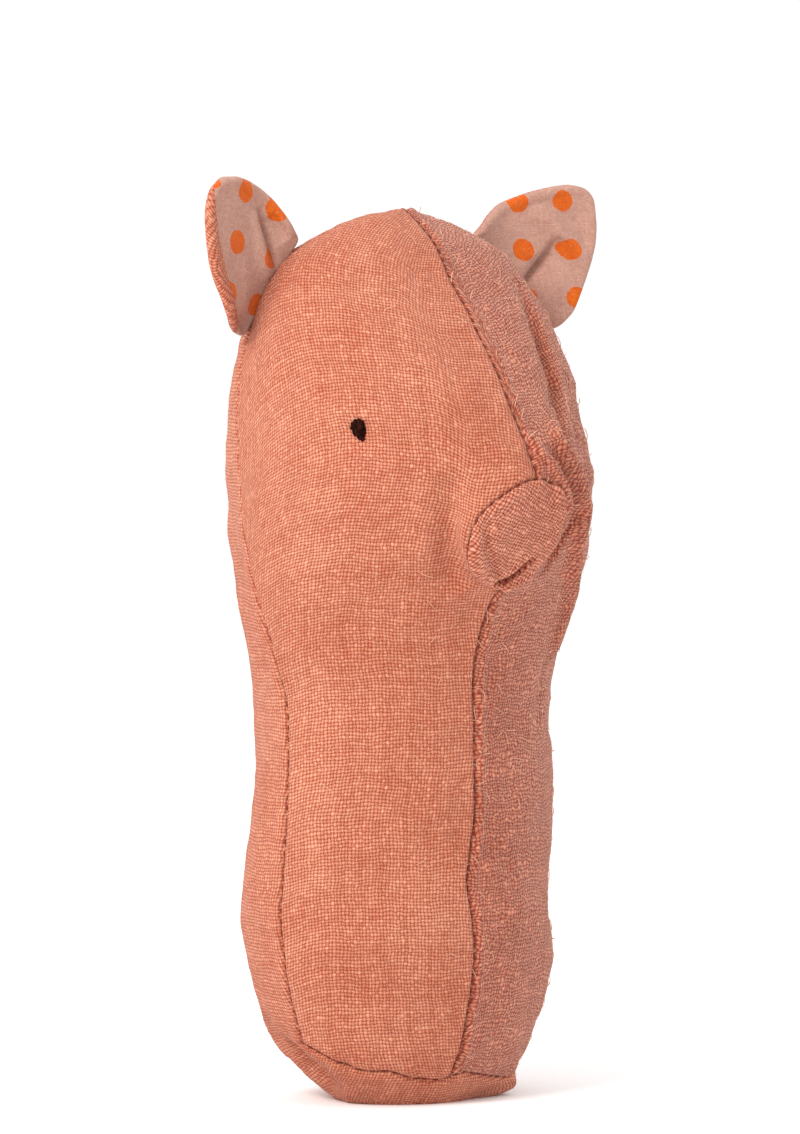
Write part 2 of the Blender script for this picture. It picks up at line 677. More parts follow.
def creased(points, out, height):
    """Moves points by the given height and by all that bends cloth and filling alike."""
    bent = 0 * points
    for rise, width, line in FOLD_LINES:
        bent = bent + fold_way(rise, width, out) * fold_height(points, line, rise, width)[..., None]
    for middle in EYE_MIDDLES:
        height = height - EYE_DENT * bell(np.linalg.norm(points - middle, axis=-1) / EYE_DENT_WIDE)
    poke = bell(np.linalg.norm(points - corner_place, axis=-1) / CORNER_WIDE)[..., None]
    return points + bent + out * height[..., None] + poke * (CORNER_OUT * image_right)


def dressed(points, out):
    """Moves points of the form in and out, as seams, puckers and folds do."""
    height = sum(rise * waves(points, size, seed) for rise, size, seed in BUMPS)
    for seed, (name, line) in enumerate(SEAMS.items()):
        away, along = to_line(points, line)
        sink = -SEAM_SINK * bell(away / SEAM_WIDTH)
        roll = ROLL_RISE * bell((away - ROLL_AWAY) / ROLL_WIDTH)
        ripple = PUCKER_RISE * pucker(along, seed) * np.exp(-away / PUCKER_FADE) * (1 - bell(away))
        if name == "snout":
            sink = sink * (SNOUT_SINK_SHARE + (1 - SNOUT_SINK_SHARE) * snout_seam_shows(snout_polar(points)[1]))
        if name == "face":
            sink = FACE_SINK_SHARE * sink
        if name in ("front", "face"):
            left = smooth((points[..., 0] - LEFT_FROM) / LEFT_RAMP)
            roll = roll + LEFT_ROLL_RISE * left * bell((away - LEFT_ROLL_AWAY) / ROLL_WIDTH)
        height += sink + roll + ripple
    return creased(points, out, height)


print(len(FOLDS_SEEN), "folds and", len(SWELLINGS), "swellings")

# %% [markdown]
# ## From skin to cloth
# A panel starts as an open skin. Its edge is turned in, as the seam allowance is, and then the whole sheet gets
# the thickness of linen. The turned-in edge also closes the seam to the eye: one looks into a dark fold, not inside.

# %% Helpers for the panels' meshes
LINEN_THICK = 0.45
PATTERNS = {}  # the flat size of each panel, and its area


def flat_area(corners):
    """The area that faces cover on the flat cloth."""
    x, y = corners[..., 0], corners[..., 1]
    return float(abs((x * np.roll(y, -1, 1) - np.roll(x, -1, 1) * y).sum(1)).sum() / 2)


def weld(points, faces, uvs):
    """Joins points that fell together and drops faces that shrank to nothing."""
    _, first, same = np.unique(np.round(points, 4), axis=0, return_index=True, return_inverse=True)
    same = same.reshape(-1)
    kept_faces, kept_uvs = [], []
    for face, corners in zip(same[faces].tolist(), uvs.tolist()):
        ring = [(v, c) for k, (v, c) in enumerate(zip(face, corners)) if v != face[k - 1]]
        if len(ring) > 2 and len({v for v, _ in ring}) == len(ring):
            kept_faces.append([v for v, _ in ring])
            kept_uvs.extend(c for _, c in ring)
    return points[first], kept_faces, kept_uvs


def evaluated_mesh(piece):
    """A plain mesh of what a piece's modifiers make."""
    return bpy.data.meshes.new_from_object(piece.evaluated_get(bpy.context.evaluated_depsgraph_get()))


def cloth_piece(name, points, faces, uvs, thick, uv):
    """A sheet with thickness, from a skin and its place on the flat cloth."""
    PATTERNS[name] = (np.ptp(uv, axis=0) * MM, flat_area(uvs) * MM**2)
    points, faces, corners = weld(points, faces, uvs)
    piece = new_piece(name, points, faces)
    layer = piece.data.uv_layers.new(name="threads")
    layer.data.foreach_set("uv", (np.array(corners) * MM).ravel())
    thickness = piece.modifiers.new("thickness", "SOLIDIFY")
    thickness.thickness = thick * MM
    thickness.offset = -1
    thickness.use_even_offset = False
    skin = piece.data
    thick_mesh = evaluated_mesh(piece)
    piece.modifiers.clear()
    piece.data = thick_mesh
    thick_mesh.name = skin.name
    bpy.data.meshes.remove(skin)
    return piece


# %% Sewing a panel
TURN_IN_STEPS = (0.35, 0.9, 1.7, 2.6)  # how deep each row of the turned-in edge lies
SEAM_OPEN = 0.06  # between the turned-in edges of two panels, for each of them
MAP_JUMP = 5.0  # a longer step than this along an edge is a jump between parts of the flat map


def sew(name, points, faces, uvs, out, uv, chain):
    """Makes a panel from its skin, with its edge turned in. The chain runs anticlockwise, seen from outside."""
    edge, edge_out, edge_uv = points[chain], out[chain], uv[chain]
    inward = unit(np.cross(edge_out, np.roll(edge, -1, 0) - np.roll(edge, 1, 0)))
    next_uv = np.roll(edge_uv, -1, 0)
    corners = np.stack([edge_uv, edge_uv, next_uv, next_uv], 1)
    all_points, all_faces, all_uvs = [points], [faces], [uvs]
    before = np.asarray(chain)
    for k, deep in enumerate(TURN_IN_STEPS):
        row = len(points) + k * len(chain) + np.arange(len(chain))
        all_points.append(edge - edge_out * deep + inward * SEAM_OPEN * min(deep / TURN_IN_STEPS[0], 1))
        all_faces.append(np.stack([before, row, np.roll(row, -1), np.roll(before, -1)], 1))
        all_uvs.append(corners)
        before = row
    skin = [np.concatenate(parts) for parts in (all_points, all_faces, all_uvs)]
    piece = cloth_piece(name, *skin, LINEN_THICK, uv)
    allowance = TURN_IN_STEPS[-1] * MM
    around = np.linalg.norm(np.diff(edge_uv, axis=0, append=edge_uv[:1]), axis=1)
    size, area = PATTERNS[name]
    PATTERNS[name] = (size + 2 * allowance, area + around[around < MAP_JUMP].sum() * MM * allowance)
    return piece


def grid_faces(rows, columns, flip=False, closed=False):
    """Corners of the squares of a grid of points stored row by row; a closed grid's rows are rings."""
    number = np.arange(rows * columns).reshape(rows, columns)
    if closed:
        number = np.concatenate([number, number[:, :1]], 1)
    square = np.stack([number[:-1, :-1], number[:-1, 1:], number[1:, 1:], number[1:, :-1]], -1).reshape(-1, 4)
    return square[:, ::-1] if flip else square


def closer_at_ends(count, share=0.35):
    """Places from 0 to 1 that crowd at both ends."""
    even = np.linspace(0, 1, count)
    return even - share * np.sin(2 * math.pi * even) / math.pi


LIP_WIDE = 2.5


def lipped(out, gap, angle):
    """Turns the cloth's way out towards the rim's, within a short distance of the rim of the snout."""
    lip = smooth(1 - gap / LIP_WIDE)[..., None]
    return unit((1 - lip) * out + lip * rim_way(angle))


print("a seam allowance is", TURN_IN_STEPS[-1], "mm deep")

# %% Face panels
FACE_COLUMNS, FACE_ROWS = 104, 330
FACE_GRAIN = math.radians(48)  # of the panel's straight grain past straight ahead
ROW_DRIFT = 0.016  # towards the side seam the weft was drawn down, by this times the distance squared
BASE_PULL = 6  # the power at which the rows stop following the base seam's waves
# Where each panel is cut from the endless weave, so that no two have the same threads.
FACE_RIGHT_CUT, BACK_CUT, DISC_CUT, EAR_CUT = (311.0, 173.0), (97.0, 401.0), (600.0, 90.0), (50.0, 50.0)


def face_grid(side):
    """Turns and levels of a face panel's grid; its rows run from the front seam to the side seam."""
    below, ring, above = middle_edge(side)
    inner = np.concatenate([below, ring[1:-1], above])
    place = spread(on_form(inner), FACE_ROWS)
    inner = pick(inner, place)
    marks = [0, len(below) - 1, len(below) + len(ring) - 2, len(below) + len(ring) + len(above) - 3]
    marks_level = [corner_level, level_at(rim_low[2]), level_at(rim_high[2]), CROWN]
    outer_level = np.interp(place, marks, marks_level)
    u = closer_at_ends(FACE_COLUMNS)
    v = np.linspace(0, 1, FACE_ROWS)[:, None]
    level = (1 - u) * inner[:, 1:] + u * outer_level[:, None]
    side_end = side_turn(level)
    turn = (1 - u) * inner[:, :1] + u * (side_end if side > 0 else -math.pi - side_end)
    level = level + (base_level(turn[:1]) - level[:1]) * (1 - v) ** BASE_PULL
    return turn, np.minimum(level, CROWN)


def face_panel(name, side):
    turn, level = face_grid(side)
    points = form(turn, level)
    away, angle = snout_polar(points)
    out = lipped(outward(turn, level), away - rim_radius(angle), angle)
    uv = thread_place(turn, level, FRONT + side * FACE_GRAIN)
    if side < 0:
        uv[..., 1] += ROW_DRIFT * np.maximum(-uv[..., 0], 0) ** 2
        uv = uv + FACE_RIGHT_CUT
    points = dressed(points, out)
    number = np.arange(turn.size).reshape(turn.shape)
    chain = np.concatenate([number[0, :-1], number[:-1, -1], number[-1, :0:-1], number[:0:-1, 0]])[::side]
    faces = grid_faces(*turn.shape, flip=side < 0)
    points, out, uv = (table.reshape(-1, table.shape[-1]) for table in (points, out, uv))
    return sew(name, points, faces, uv[faces], out, uv, chain)


face_left = face_panel("linen_face_left", 1)
face_right = face_panel("linen_face_right", -1)
for piece in (face_left, face_right):
    print(piece.name, len(piece.data.polygons), "faces")

# %% [markdown]
# The back is one piece that wraps under the sole and comes up in front as a low band. Its grid is made of rings:
# below the corner of the seam they go all the way round, and above it they cover the back alone.

# %% Back panel
BACK_COLUMNS, BAND_COLUMNS = 150, 150
SOLE_ROWS, HEEL_ROWS, BACK_ROWS = 24, 26, 285
SOLE_HEIGHT = 0.4  # faces that lie lower than this are the sole, where the weave runs straight


def back_panel(name):
    rise_back = np.concatenate([np.linspace(-1, 0, SOLE_ROWS)[:-1], np.linspace(0, corner_level, HEEL_ROWS)])
    last = len(rise_back) - 1
    upper_levels = LEVEL_STEPS[LEVEL_STEPS >= corner_level]
    upper = form(math.pi / 2 + 0 * upper_levels, upper_levels)
    rise_up = np.interp(spread(upper, BACK_ROWS), np.arange(len(upper)), upper_levels)
    level = np.concatenate([rise_back, rise_up[1:]])[:, None] + np.zeros((1, BACK_COLUMNS))
    start = side_turn(np.maximum(level, corner_level))
    turn = start + closer_at_ends(BACK_COLUMNS) * (math.pi - 2 * start)
    number = np.arange(level.size).reshape(level.shape)
    # The band's turns run from the toy's right side seam round the front to its left one.
    left_end = side_turn(np.array([[corner_level]]))
    band_turn = (math.pi - left_end) + np.linspace(0, 1, BAND_COLUMNS) * (math.pi + 2 * left_end)
    band_turn = band_turn + 0 * rise_back[:, None] - 2 * math.pi
    share = np.maximum(rise_back, 0)[:, None] / corner_level
    band_level = np.where(rise_back[:, None] < 0, rise_back[:, None], share * base_level(band_turn))
    band_number = number.size + np.arange(band_level.size).reshape(band_level.shape)

    grids = ((turn, level), (band_turn, band_level))
    points = np.concatenate([form(*grid).reshape(-1, 3) for grid in grids])
    out = np.concatenate([outward(*grid).reshape(-1, 3) for grid in grids])
    points = dressed(points, out)
    points[:, 2] = np.maximum(points[:, 2], 0.0)
    back_uv = thread_place(np.where(turn > math.pi / 2, math.pi - turn, turn), level, math.pi / 2)
    back_uv[..., 0] *= np.where(turn > math.pi / 2, -1, 1)
    band_uv = thread_place(band_turn, band_level, FRONT)
    uv = np.concatenate([back_uv.reshape(-1, 2), band_uv.reshape(-1, 2)]) + BACK_CUT
    faces = np.concatenate([grid_faces(*level.shape), number.size + grid_faces(*band_level.shape)])
    corners = uv[faces]
    sole = points[faces][..., 2].max(axis=1) < SOLE_HEIGHT
    corners[sole] = points[faces][sole][..., :2] * (1, -1) + BACK_CUT
    # The edge runs down the toy's left side seam, along the base seam and up the right side seam.
    chain = np.concatenate([number[last:-1, -1][::-1], band_number[last, 1:-1], number[last:-1, 0], number[-1, :1]])
    # Seen from outside the band's turn grows towards the toy's left, so the chain starts on the right side.
    return sew(name, points, faces, corners, out, uv, chain[::-1])


back = back_panel("linen_back")
print(back.name, len(back.data.polygons), "faces")

# %% [markdown]
# The end of the snout is a disc of linen that the filling pushes into a low dome. The seam pulls it in
# all round, and near its lower edge the cloth is folded over, which looks like a small closed mouth.

# %% Snout disc
DISC_RINGS, DISC_SPOKES = 60, 200
DISC_DOME = 1.5
FOLD_STEP = 0.4  # between the places of a fold's line on a flat piece
# Folds on the disc, as places to the toy's left of and above its middle.
DISC_FOLDS = [
    (-3.0, 0.55, [(-2.6, -8.5), (-1.5, -8.3), (0.0, -7.7), (1.2, -6.3), (2.4, -4.9), (3.5, -4.0), (4.5, -3.6)]),
    (0.8, 0.9, [(0.2, -9.8), (2.6, -8.9), (4.6, -7.4), (6.8, -6.0)]),
    (0.5, 1.3, [(-2.2, -7.2), (0.2, -6.8), (2.0, -5.2), (3.8, -3.6)]),
    (-1.0, 0.8, [(-9.4, 4.8), (-8.6, 3.2), (-8.1, 0.8), (-6.5, -2.1), (-4.1, -5.1), (-2.4, -6.9)]),
    (0.6, 0.9, [(-10.2, 2.4), (-9.4, -0.4), (-7.8, -3.2), (-5.8, -5.8)]),
    (-0.3, 1.4, [(-4.0, 7.5), (0.5, 6.5), (4.5, 7.0)]),
    (0.5, 1.2, [(4.2, 8.6), (6.6, 6.6), (7.7, 3.4), (7.7, 0), (7.2, -3.2), (5.8, -5.6)]),
]
DISC_GRAIN = np.array([[0.94, 0.34], [-0.34, 0.94]])  # the disc was sewn in with its threads askew


def disc_panel(name):
    share = 1 - closer_at_ends(DISC_RINGS, 0.2)[:, None]
    angle = np.linspace(0, 2 * math.pi, DISC_SPOKES, endpoint=False)[None, :]
    radius = rim_radius(angle) * share
    dome = DISC_DOME * (1 - share**4) ** 0.7
    ring = np.stack([np.cos(angle), np.sin(angle)], -1)
    flat = radius[..., None] * ring
    points = SNOUT_MIDDLE + flat[..., :1] * snout_side + flat[..., 1:] * snout_up + dome[..., None] * snout_out
    out = lipped(snout_out, (1 - share) * rim_radius(angle), angle)
    steps = np.hypot(np.diff(radius, axis=0), np.diff(dome, axis=0))
    spoke_run = np.concatenate([np.cumsum(steps[::-1], axis=0)[::-1], 0 * radius[:1]])
    uv = (spoke_run[..., None] * ring).reshape(-1, 2) @ DISC_GRAIN + DISC_CUT
    points = dressed(points, out)
    for rise, width, places in DISC_FOLDS:
        height = fold_height(flat, resampled(np.array(places, float), FOLD_STEP), rise, width)
        points = points + height[..., None] * fold_way(rise, width, snout_out)
    faces = grid_faces(DISC_RINGS, DISC_SPOKES, closed=True)
    return sew(name, points.reshape(-1, 3), faces, uv[faces], out.reshape(-1, 3), uv, np.arange(DISC_SPOKES))


disc = disc_panel("linen_snout_disc")
print(disc.name, len(disc.data.polygons), "faces")

# %% [markdown]
# ## Linen
# Plain weave is the simplest cloth: each thread goes over one and under the next. Where a thread is on top its crown
# catches the light, and in the corners between four crossings there is a small dark gap. At 17 threads to the
# centimetre that gives linen its grain from a step away. The threads are spun unevenly, so each has its own shade
# and width, and some swell into slubs. One node group makes the crossings for all cloths of the toy.

# %% Small helpers for node trees
def add_node(tree, kind, inputs=None, **settings):
    node = tree.nodes.new(kind)
    for key, value in settings.items():
        setattr(node, key, value)
    feed(tree, node, inputs or {})
    return node


def calc(tree, operation, *values, clamp=False):
    inputs = dict(enumerate(values))
    return add_node(tree, "ShaderNodeMath", inputs, operation=operation, use_clamp=clamp).outputs[0]


def vector_calc(tree, operation, *values, result="Vector"):
    return add_node(tree, "ShaderNodeVectorMath", dict(enumerate(values)), operation=operation).outputs[result]


def swayed(tree, value, chance, share):
    """A value that a random number from 0 to 1 moves up or down."""
    return calc(tree, "MULTIPLY_ADD", calc(tree, "SUBTRACT", chance, 0.5), share, value)


def blend_colour(tree, share, first, second, kind="MIX"):
    inputs = {0: share, 6: first, 7: second}  # the colour sockets of this node come after those for numbers
    return add_node(tree, "ShaderNodeMix", inputs, data_type="RGBA", blend_type=kind).outputs[2]


def remap(tree, value, low, high, to_low=0.0, to_high=1.0):
    inputs = {"Value": value, "From Min": low, "From Max": high, "To Min": to_low, "To Max": to_high}
    return add_node(tree, "ShaderNodeMapRange", inputs, interpolation_type="SMOOTHSTEP").outputs["Result"]


def noise(tree, place, scale, detail=2.0, stretch=None):
    """Soft noise from 0 to 1; stretch squeezes it differently along each direction."""
    if stretch is not None:
        place = vector_calc(tree, "MULTIPLY", place, stretch)
    return add_node(tree, "ShaderNodeTexNoise", {"Vector": place, "Scale": scale, "Detail": detail}).outputs["Fac"]


def bumped(tree, height, strength, distance, under=None):
    """The direction of a surface with this relief, laid over the relief under it."""
    inputs = {"Height": height, "Strength": strength, "Distance": distance}
    if under is not None:
        inputs["Normal"] = under
    return add_node(tree, "ShaderNodeBump", inputs).outputs["Normal"]


def name_inputs(tree, sockets):
    """Adds named inputs to a node group, each with its kind and its default value."""
    for name, kind, value in sockets:
        socket = tree.interface.new_socket(name=name, in_out="INPUT", socket_type="NodeSocket" + kind)
        if value is not None:
            socket.default_value = value


# %% Threads of the weave
SLOW_NOISE, SLOW_STRAY = 110.0, 5.0  # noise in a metre, and how many threads it leads astray
FAST_NOISE, FAST_STRAY = 700.0, 1.7
SHADE_ALONG, SHADE_SCALE, SHADE_DETAIL = 0.09, 2.63, 1.5  # a thread's shade changes slowly along it
SLUB_FROM, SLUB_FULL = 0.58, 0.74  # where the shade is lighter than this the thread swells
WIDTH_SPREAD, SLUB_SWELL = 0.10, 1.2
CROWN_BEND, CROWN_LEVEL, CROWN_BASE = 0.45, 0.75, -0.2  # heights of a thread, in its widths
OWN_TONE, CROSSING_TONE = 0.32, 0.5
GAP_FROM, GAP_FULL = 0.56, -0.05


def wandered(tree, given, axis, salt):
    """The place counted in threads, led astray by soft noise as hand-guided cloth is."""
    shifted = vector_calc(tree, "ADD", given["Place"], (salt, salt, 0))
    slow, fast = (calc(tree, "SUBTRACT", noise(tree, shifted, scale, 1.0), 0.5) for scale in (SLOW_NOISE, FAST_NOISE))
    stray = calc(tree, "MULTIPLY_ADD", slow, SLOW_STRAY, calc(tree, "MULTIPLY", fast, FAST_STRAY))
    along = add_node(tree, "ShaderNodeSeparateXYZ", {0: given["Place"]}).outputs[axis]
    count = calc(tree, "MULTIPLY", along, given["Threads per metre"])
    return calc(tree, "MULTIPLY_ADD", stray, given["Wander"], count)


def thread_at(tree, count):
    """The number of a thread, and the place across it from -0.5 to 0.5."""
    number = calc(tree, "FLOOR", count)
    return number, calc(tree, "SUBTRACT", calc(tree, "SUBTRACT", count, number), 0.5)


def thread(tree, given, number, beside, along, crossed, over, salt):
    """Height and tone of the threads that run one way; over is 1 where they lie on top and -1 where below."""
    lead = {0: number, 1: calc(tree, "MULTIPLY", along, SHADE_ALONG), 2: salt}
    lead = add_node(tree, "ShaderNodeCombineXYZ", lead).outputs[0]
    shade = noise(tree, lead, SHADE_SCALE, SHADE_DETAIL)
    slub = remap(tree, shade, SLUB_FROM, SLUB_FULL)
    own = {"W": calc(tree, "ADD", number, salt)}
    own = add_node(tree, "ShaderNodeTexWhiteNoise", own, noise_dimensions="1D").outputs["Value"]
    wide = calc(tree, "MULTIPLY_ADD", own, WIDTH_SPREAD, given["Thread width"])
    wide = calc(tree, "MULTIPLY_ADD", slub, calc(tree, "MULTIPLY", given["Slubs"], SLUB_SWELL), wide)
    off = calc(tree, "DIVIDE", calc(tree, "MULTIPLY", beside, 2.0), wide)
    square = calc(tree, "SUBTRACT", 1.0, calc(tree, "MULTIPLY", off, off))
    round_top = calc(tree, "SQRT", calc(tree, "MAXIMUM", square, 0.0))
    bend = calc(tree, "MULTIPLY", over, calc(tree, "COSINE", calc(tree, "MULTIPLY", crossed, math.pi)))
    lift = calc(tree, "MULTIPLY_ADD", bend, CROWN_BEND, CROWN_LEVEL)
    height = calc(tree, "MULTIPLY_ADD", round_top, lift, CROWN_BASE)
    tone = swayed(tree, calc(tree, "MULTIPLY", slub, given["Slubs"]), own, OWN_TONE)
    return height, calc(tree, "ADD", tone, shade)


# %% Plain weave
def plain_weave():
    tree = bpy.data.node_groups.new("plain_weave", "ShaderNodeTree")
    name_inputs(tree, [
        ("Place", "Vector", None), ("Threads per metre", "Float", 1724.0), ("Wander", "Float", 0.5),
        ("Slubs", "Float", 0.25), ("Thread width", "Float", 0.86),
    ])
    for name in ("Height", "Gap", "Tone"):
        tree.interface.new_socket(name=name, in_out="OUTPUT", socket_type="NodeSocketFloat")
    given = add_node(tree, "NodeGroupInput").outputs
    across, upward = wandered(tree, given, 0, 0.13), wandered(tree, given, 1, 0.57)
    (column, in_column), (row, in_row) = thread_at(tree, across), thread_at(tree, upward)
    half_sum = calc(tree, "MULTIPLY", calc(tree, "ADD", column, row), 0.5)
    over = calc(tree, "MULTIPLY_ADD", calc(tree, "FRACT", half_sum), -4.0, 1.0)
    under = calc(tree, "MULTIPLY", over, -1.0)
    warp, warp_tone = thread(tree, given, column, in_column, upward, in_row, over, 3.0)
    weft, weft_tone = thread(tree, given, row, in_row, across, in_column, under, 41.0)
    height = calc(tree, "MAXIMUM", warp, weft)
    tones = {0: calc(tree, "GREATER_THAN", warp, weft), 2: weft_tone, 3: warp_tone}
    tone = add_node(tree, "ShaderNodeMix", tones, data_type="FLOAT").outputs[0]
    crossing = {"Vector": add_node(tree, "ShaderNodeCombineXYZ", {0: column, 1: row}).outputs[0]}
    chance = add_node(tree, "ShaderNodeTexWhiteNoise", crossing, noise_dimensions="2D").outputs["Value"]
    tone = swayed(tree, tone, chance, CROSSING_TONE)
    gap = remap(tree, height, GAP_FROM, GAP_FULL)
    add_node(tree, "NodeGroupOutput", {"Height": height, "Gap": gap, "Tone": tone})
    return tree


WEAVE = plain_weave()
print("plain weave group has", len(WEAVE.nodes), "nodes")

# %% [markdown]
# The linen is dyed a warm salmon. The crowns of the threads are lighter than the dye in the gaps, and the fuzz of
# broken fibres makes it paler where one looks along the cloth. Three looks are made of the same recipe: the taut
# cloth of the right and back, the duller, fuzzier cloth of the toy's left, where light brushes over it, and the
# coarser grain of the snout's end.

# %% Linen finish
LINEN_THREADS, LOOSE_THREADS = 1000.0 / 0.58, 1000.0 / 0.64  # in a metre
LINT, LINT_COVER, LINT_EVERYWHERE = (0.60, 0.33, 0.22, 1.0), 0.08, 0.35
LINT_STREAKS, LINT_BAND = (900.0, 3.0, (1.0, 0.35, 1.0)), (0.50, 0.72)
DOWN_PATCHES, DOWN_BAND = (140.0, 2.0), (0.35, 0.7)
PATCHES, PATCH_TONE = (60.0, 3.0), 1.1  # scale and detail of the noise, and how much it sways the tone
SPECKS, SPECK_TONE = (2600.0, 2.0), 0.9
CROWN_BAND = (0.40, 1.0)  # heights of the weave from its flanks to its crowns
CROWN_SHADES = ((0.20, 0.10), (0.42, 0.20))  # darker below and lighter above: for red, then green and blue


def woven(tree, threads, wander, slubs, width):
    """The cloth's flat map, and the weave on it."""
    flat = add_node(tree, "ShaderNodeUVMap", uv_map="threads").outputs["UV"]
    inputs = {"Place": flat, "Threads per metre": threads, "Wander": wander, "Slubs": slubs, "Thread width": width}
    return flat, add_node(tree, "ShaderNodeGroup", inputs, node_tree=WEAVE).outputs


def linted(tree, flat, solid, colour):
    """A colour under patches of pale lint, which lies along the threads."""
    lint = remap(tree, noise(tree, flat, *LINT_STREAKS), *LINT_BAND)
    both = calc(tree, "MULTIPLY", lint, remap(tree, noise(tree, solid, *DOWN_PATCHES), *DOWN_BAND))
    covered = calc(tree, "MULTIPLY_ADD", both, LINT_COVER, LINT_COVER * LINT_EVERYWHERE)
    return blend_colour(tree, covered, colour, LINT)


def cloth(name, threads, light, deep, gap, wander, slubs, width, bump, sheen, crowns=1.0):
    """Linen that is deep to light in tone, dark in its gaps; crowns says how strongly the threads' tops show."""
    finish, tree, shader = new_finish(name)
    flat, weave = woven(tree, threads, wander, slubs, width)
    solid = add_node(tree, "ShaderNodeTexCoord").outputs["Object"]
    specks = noise(tree, flat, *SPECKS)
    tone = swayed(tree, weave["Tone"], noise(tree, solid, *PATCHES), PATCH_TONE)
    tone = calc(tree, "MULTIPLY", swayed(tree, tone, specks, SPECK_TONE), 1.0, clamp=True)
    dyed = blend_colour(tree, tone, (*deep, 1), (*light, 1))
    red, rest = (
        remap(tree, weave["Height"], *CROWN_BAND, 1 - dim * crowns, 1 + bright * crowns)
        for dim, bright in CROWN_SHADES
    )
    crown = add_node(tree, "ShaderNodeCombineColor", {0: red, 1: rest, 2: rest}).outputs[0]
    dyed = blend_colour(tree, 1.0, dyed, crown, "MULTIPLY")
    colour = linted(tree, flat, solid, blend_colour(tree, weave["Gap"], dyed, (*gap, 1)))
    rough = bumped(tree, specks, 0.35, 0.00006)
    feed(tree, shader, {
        "Base Color": colour, "Normal": bumped(tree, weave["Height"], 0.9, bump, rough), "Roughness": 0.92,
        "Sheen Weight": sheen, "Sheen Roughness": 0.45, "Sheen Tint": (1.0, 0.82, 0.72, 1.0),
        "Specular IOR Level": 0.2,
    })
    return finish


linen_taut = cloth(
    "linen_taut", LINEN_THREADS, light=(0.61, 0.255, 0.156), deep=(0.45, 0.124, 0.064), gap=(0.24, 0.032, 0.014),
    wander=0.5, slubs=0.24, width=0.82, bump=0.00022, sheen=0.15,
)
linen_loose = cloth(
    "linen_loose", LOOSE_THREADS, light=(0.54, 0.196, 0.117), deep=(0.37, 0.095, 0.050), gap=(0.15, 0.021, 0.010),
    wander=1.1, slubs=0.38, width=0.84, bump=0.00030, sheen=0.4, crowns=1.6,
)
linen_snout = cloth(
    "linen_snout", LINEN_THREADS, light=(0.69, 0.29, 0.184), deep=(0.46, 0.132, 0.072), gap=(0.12, 0.015, 0.008),
    wander=0.9, slubs=0.30, width=0.88, bump=0.00030, sheen=0.2, crowns=1.5,
)
print("linen finishes made")

# %% Dress the panels
def dress(piece, node, body, slot, finish, bends=None):
    """Gives a piece its finish, and says which body it rides on and which CAD node it stands for.

    Cloth that is sewn to the toy and ends on another body bends between two places.
    """
    piece.data.materials.clear()
    piece.data.materials.append(finish)
    if bends is None:
        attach(piece, body)
    else:
        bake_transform(piece)
    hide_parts(node)


for piece, node, finish in (
    (face_left, "face_panel_left", linen_loose),
    (face_right, "face_panel_right", linen_taut),
    (back, "back_panel", linen_taut),
    (disc, "snout_disc", linen_snout),
):
    dress(piece, node, "toy", "linen", finish)

# %% [markdown]
# ## Filling and capsule
# Loose fibre fills the skin, so the filling has the skin's own form, a little smaller, with dents where the seam
# allowances and the ear roots press into it. The capsule lies in the neck. The CAD parts the fibre at the
# middle of the capsule, and so does this: two plump pieces, each with half of the pocket.

# %% Filling
FILLING_INSET = 1.3
ALLOWANCE_DENT, DENT_WIDTH, DEEPEST = 4.6, 2.8, 6.5
PARTING, PARTING_GAP = 74.0, 0.15
POCKET_RADIUS, POCKET_HALF, POCKET_ROUND = 14.4, 9.4, 2.2
POCKET_BEVEL = 0.7
FILLING_SPOKES, FILLING_ROWS = 160, 130
FILLING_FLOOR = 0.9
LUMPS, LUMP_SIZE, LUMP_SEED = 0.35, 7, 31
FLAT_PAST, FLAT_RAMP = 0.4, 1.4  # the filling is flat behind the disc, to this far past the rim, and over this ramp


def filling_skin(turn, level):
    points = form(turn, level)
    away, angle = snout_polar(points)
    inside = smooth((rim_radius(angle) + FLAT_PAST - away) / FLAT_RAMP) * (np.sin(turn) < 0)
    off = points - SNOUT_MIDDLE
    plane = SNOUT_MIDDLE[1] - (off[..., 0] * snout_out[0] + off[..., 2] * snout_out[2]) / snout_out[1]
    points[..., 1] += inside * (plane - points[..., 1])
    inset = FILLING_INSET + 0 * away
    for line in SEAMS.values():
        inset += ALLOWANCE_DENT * bell(to_line(points, line[::3])[0] / DENT_WIDTH)
    lumps = LUMPS * waves(points, LUMP_SIZE, LUMP_SEED) - LUMPS
    return creased(points, outward(turn, level), np.minimum(lumps, 0) - np.minimum(inset, DEEPEST))


def filling(name, first_level, way):
    """A closed piece from its pole to the parting, and on into its half of the pocket."""
    turn = np.linspace(0, 2 * math.pi, FILLING_SPOKES + 1)
    level = np.linspace(first_level, float(level_at(PARTING)), FILLING_ROWS)[:, None]
    skin = filling_skin(turn + 0 * level, level + 0 * turn)
    flat = PARTING + way * PARTING_GAP
    skin[..., 2] = np.maximum(skin[..., 2], flat) if way > 0 else np.clip(skin[..., 2], FILLING_FLOOR, flat)
    skin[-1, :, 2] = flat
    wide, top = POCKET_RADIUS, POCKET_HALF
    profile = [(wide, PARTING_GAP), (wide, 3), (wide, top - POCKET_ROUND), (wide - POCKET_BEVEL, top - POCKET_BEVEL)]
    profile += [(wide - POCKET_ROUND, top), (8, top), (3, top), (0, top)]
    rings = [np.stack([r * np.cos(turn), r * np.sin(turn), PARTING + way * h + 0 * turn], -1) for r, h in profile]
    steps = [skin[-1] * (1 - w) + rings[0] * w for w in (0.34, 0.67)]
    points = np.concatenate([skin, np.stack(steps + rings)])
    points[0] = points[0].mean(0)
    points[:, -1] = points[:, 0]
    faces = grid_faces(*points.shape[:2], flip=way > 0)
    points = points.reshape(-1, 3)
    corners, joined, _ = weld(points, faces, points[faces][..., :2])
    return new_piece(name, corners, joined)


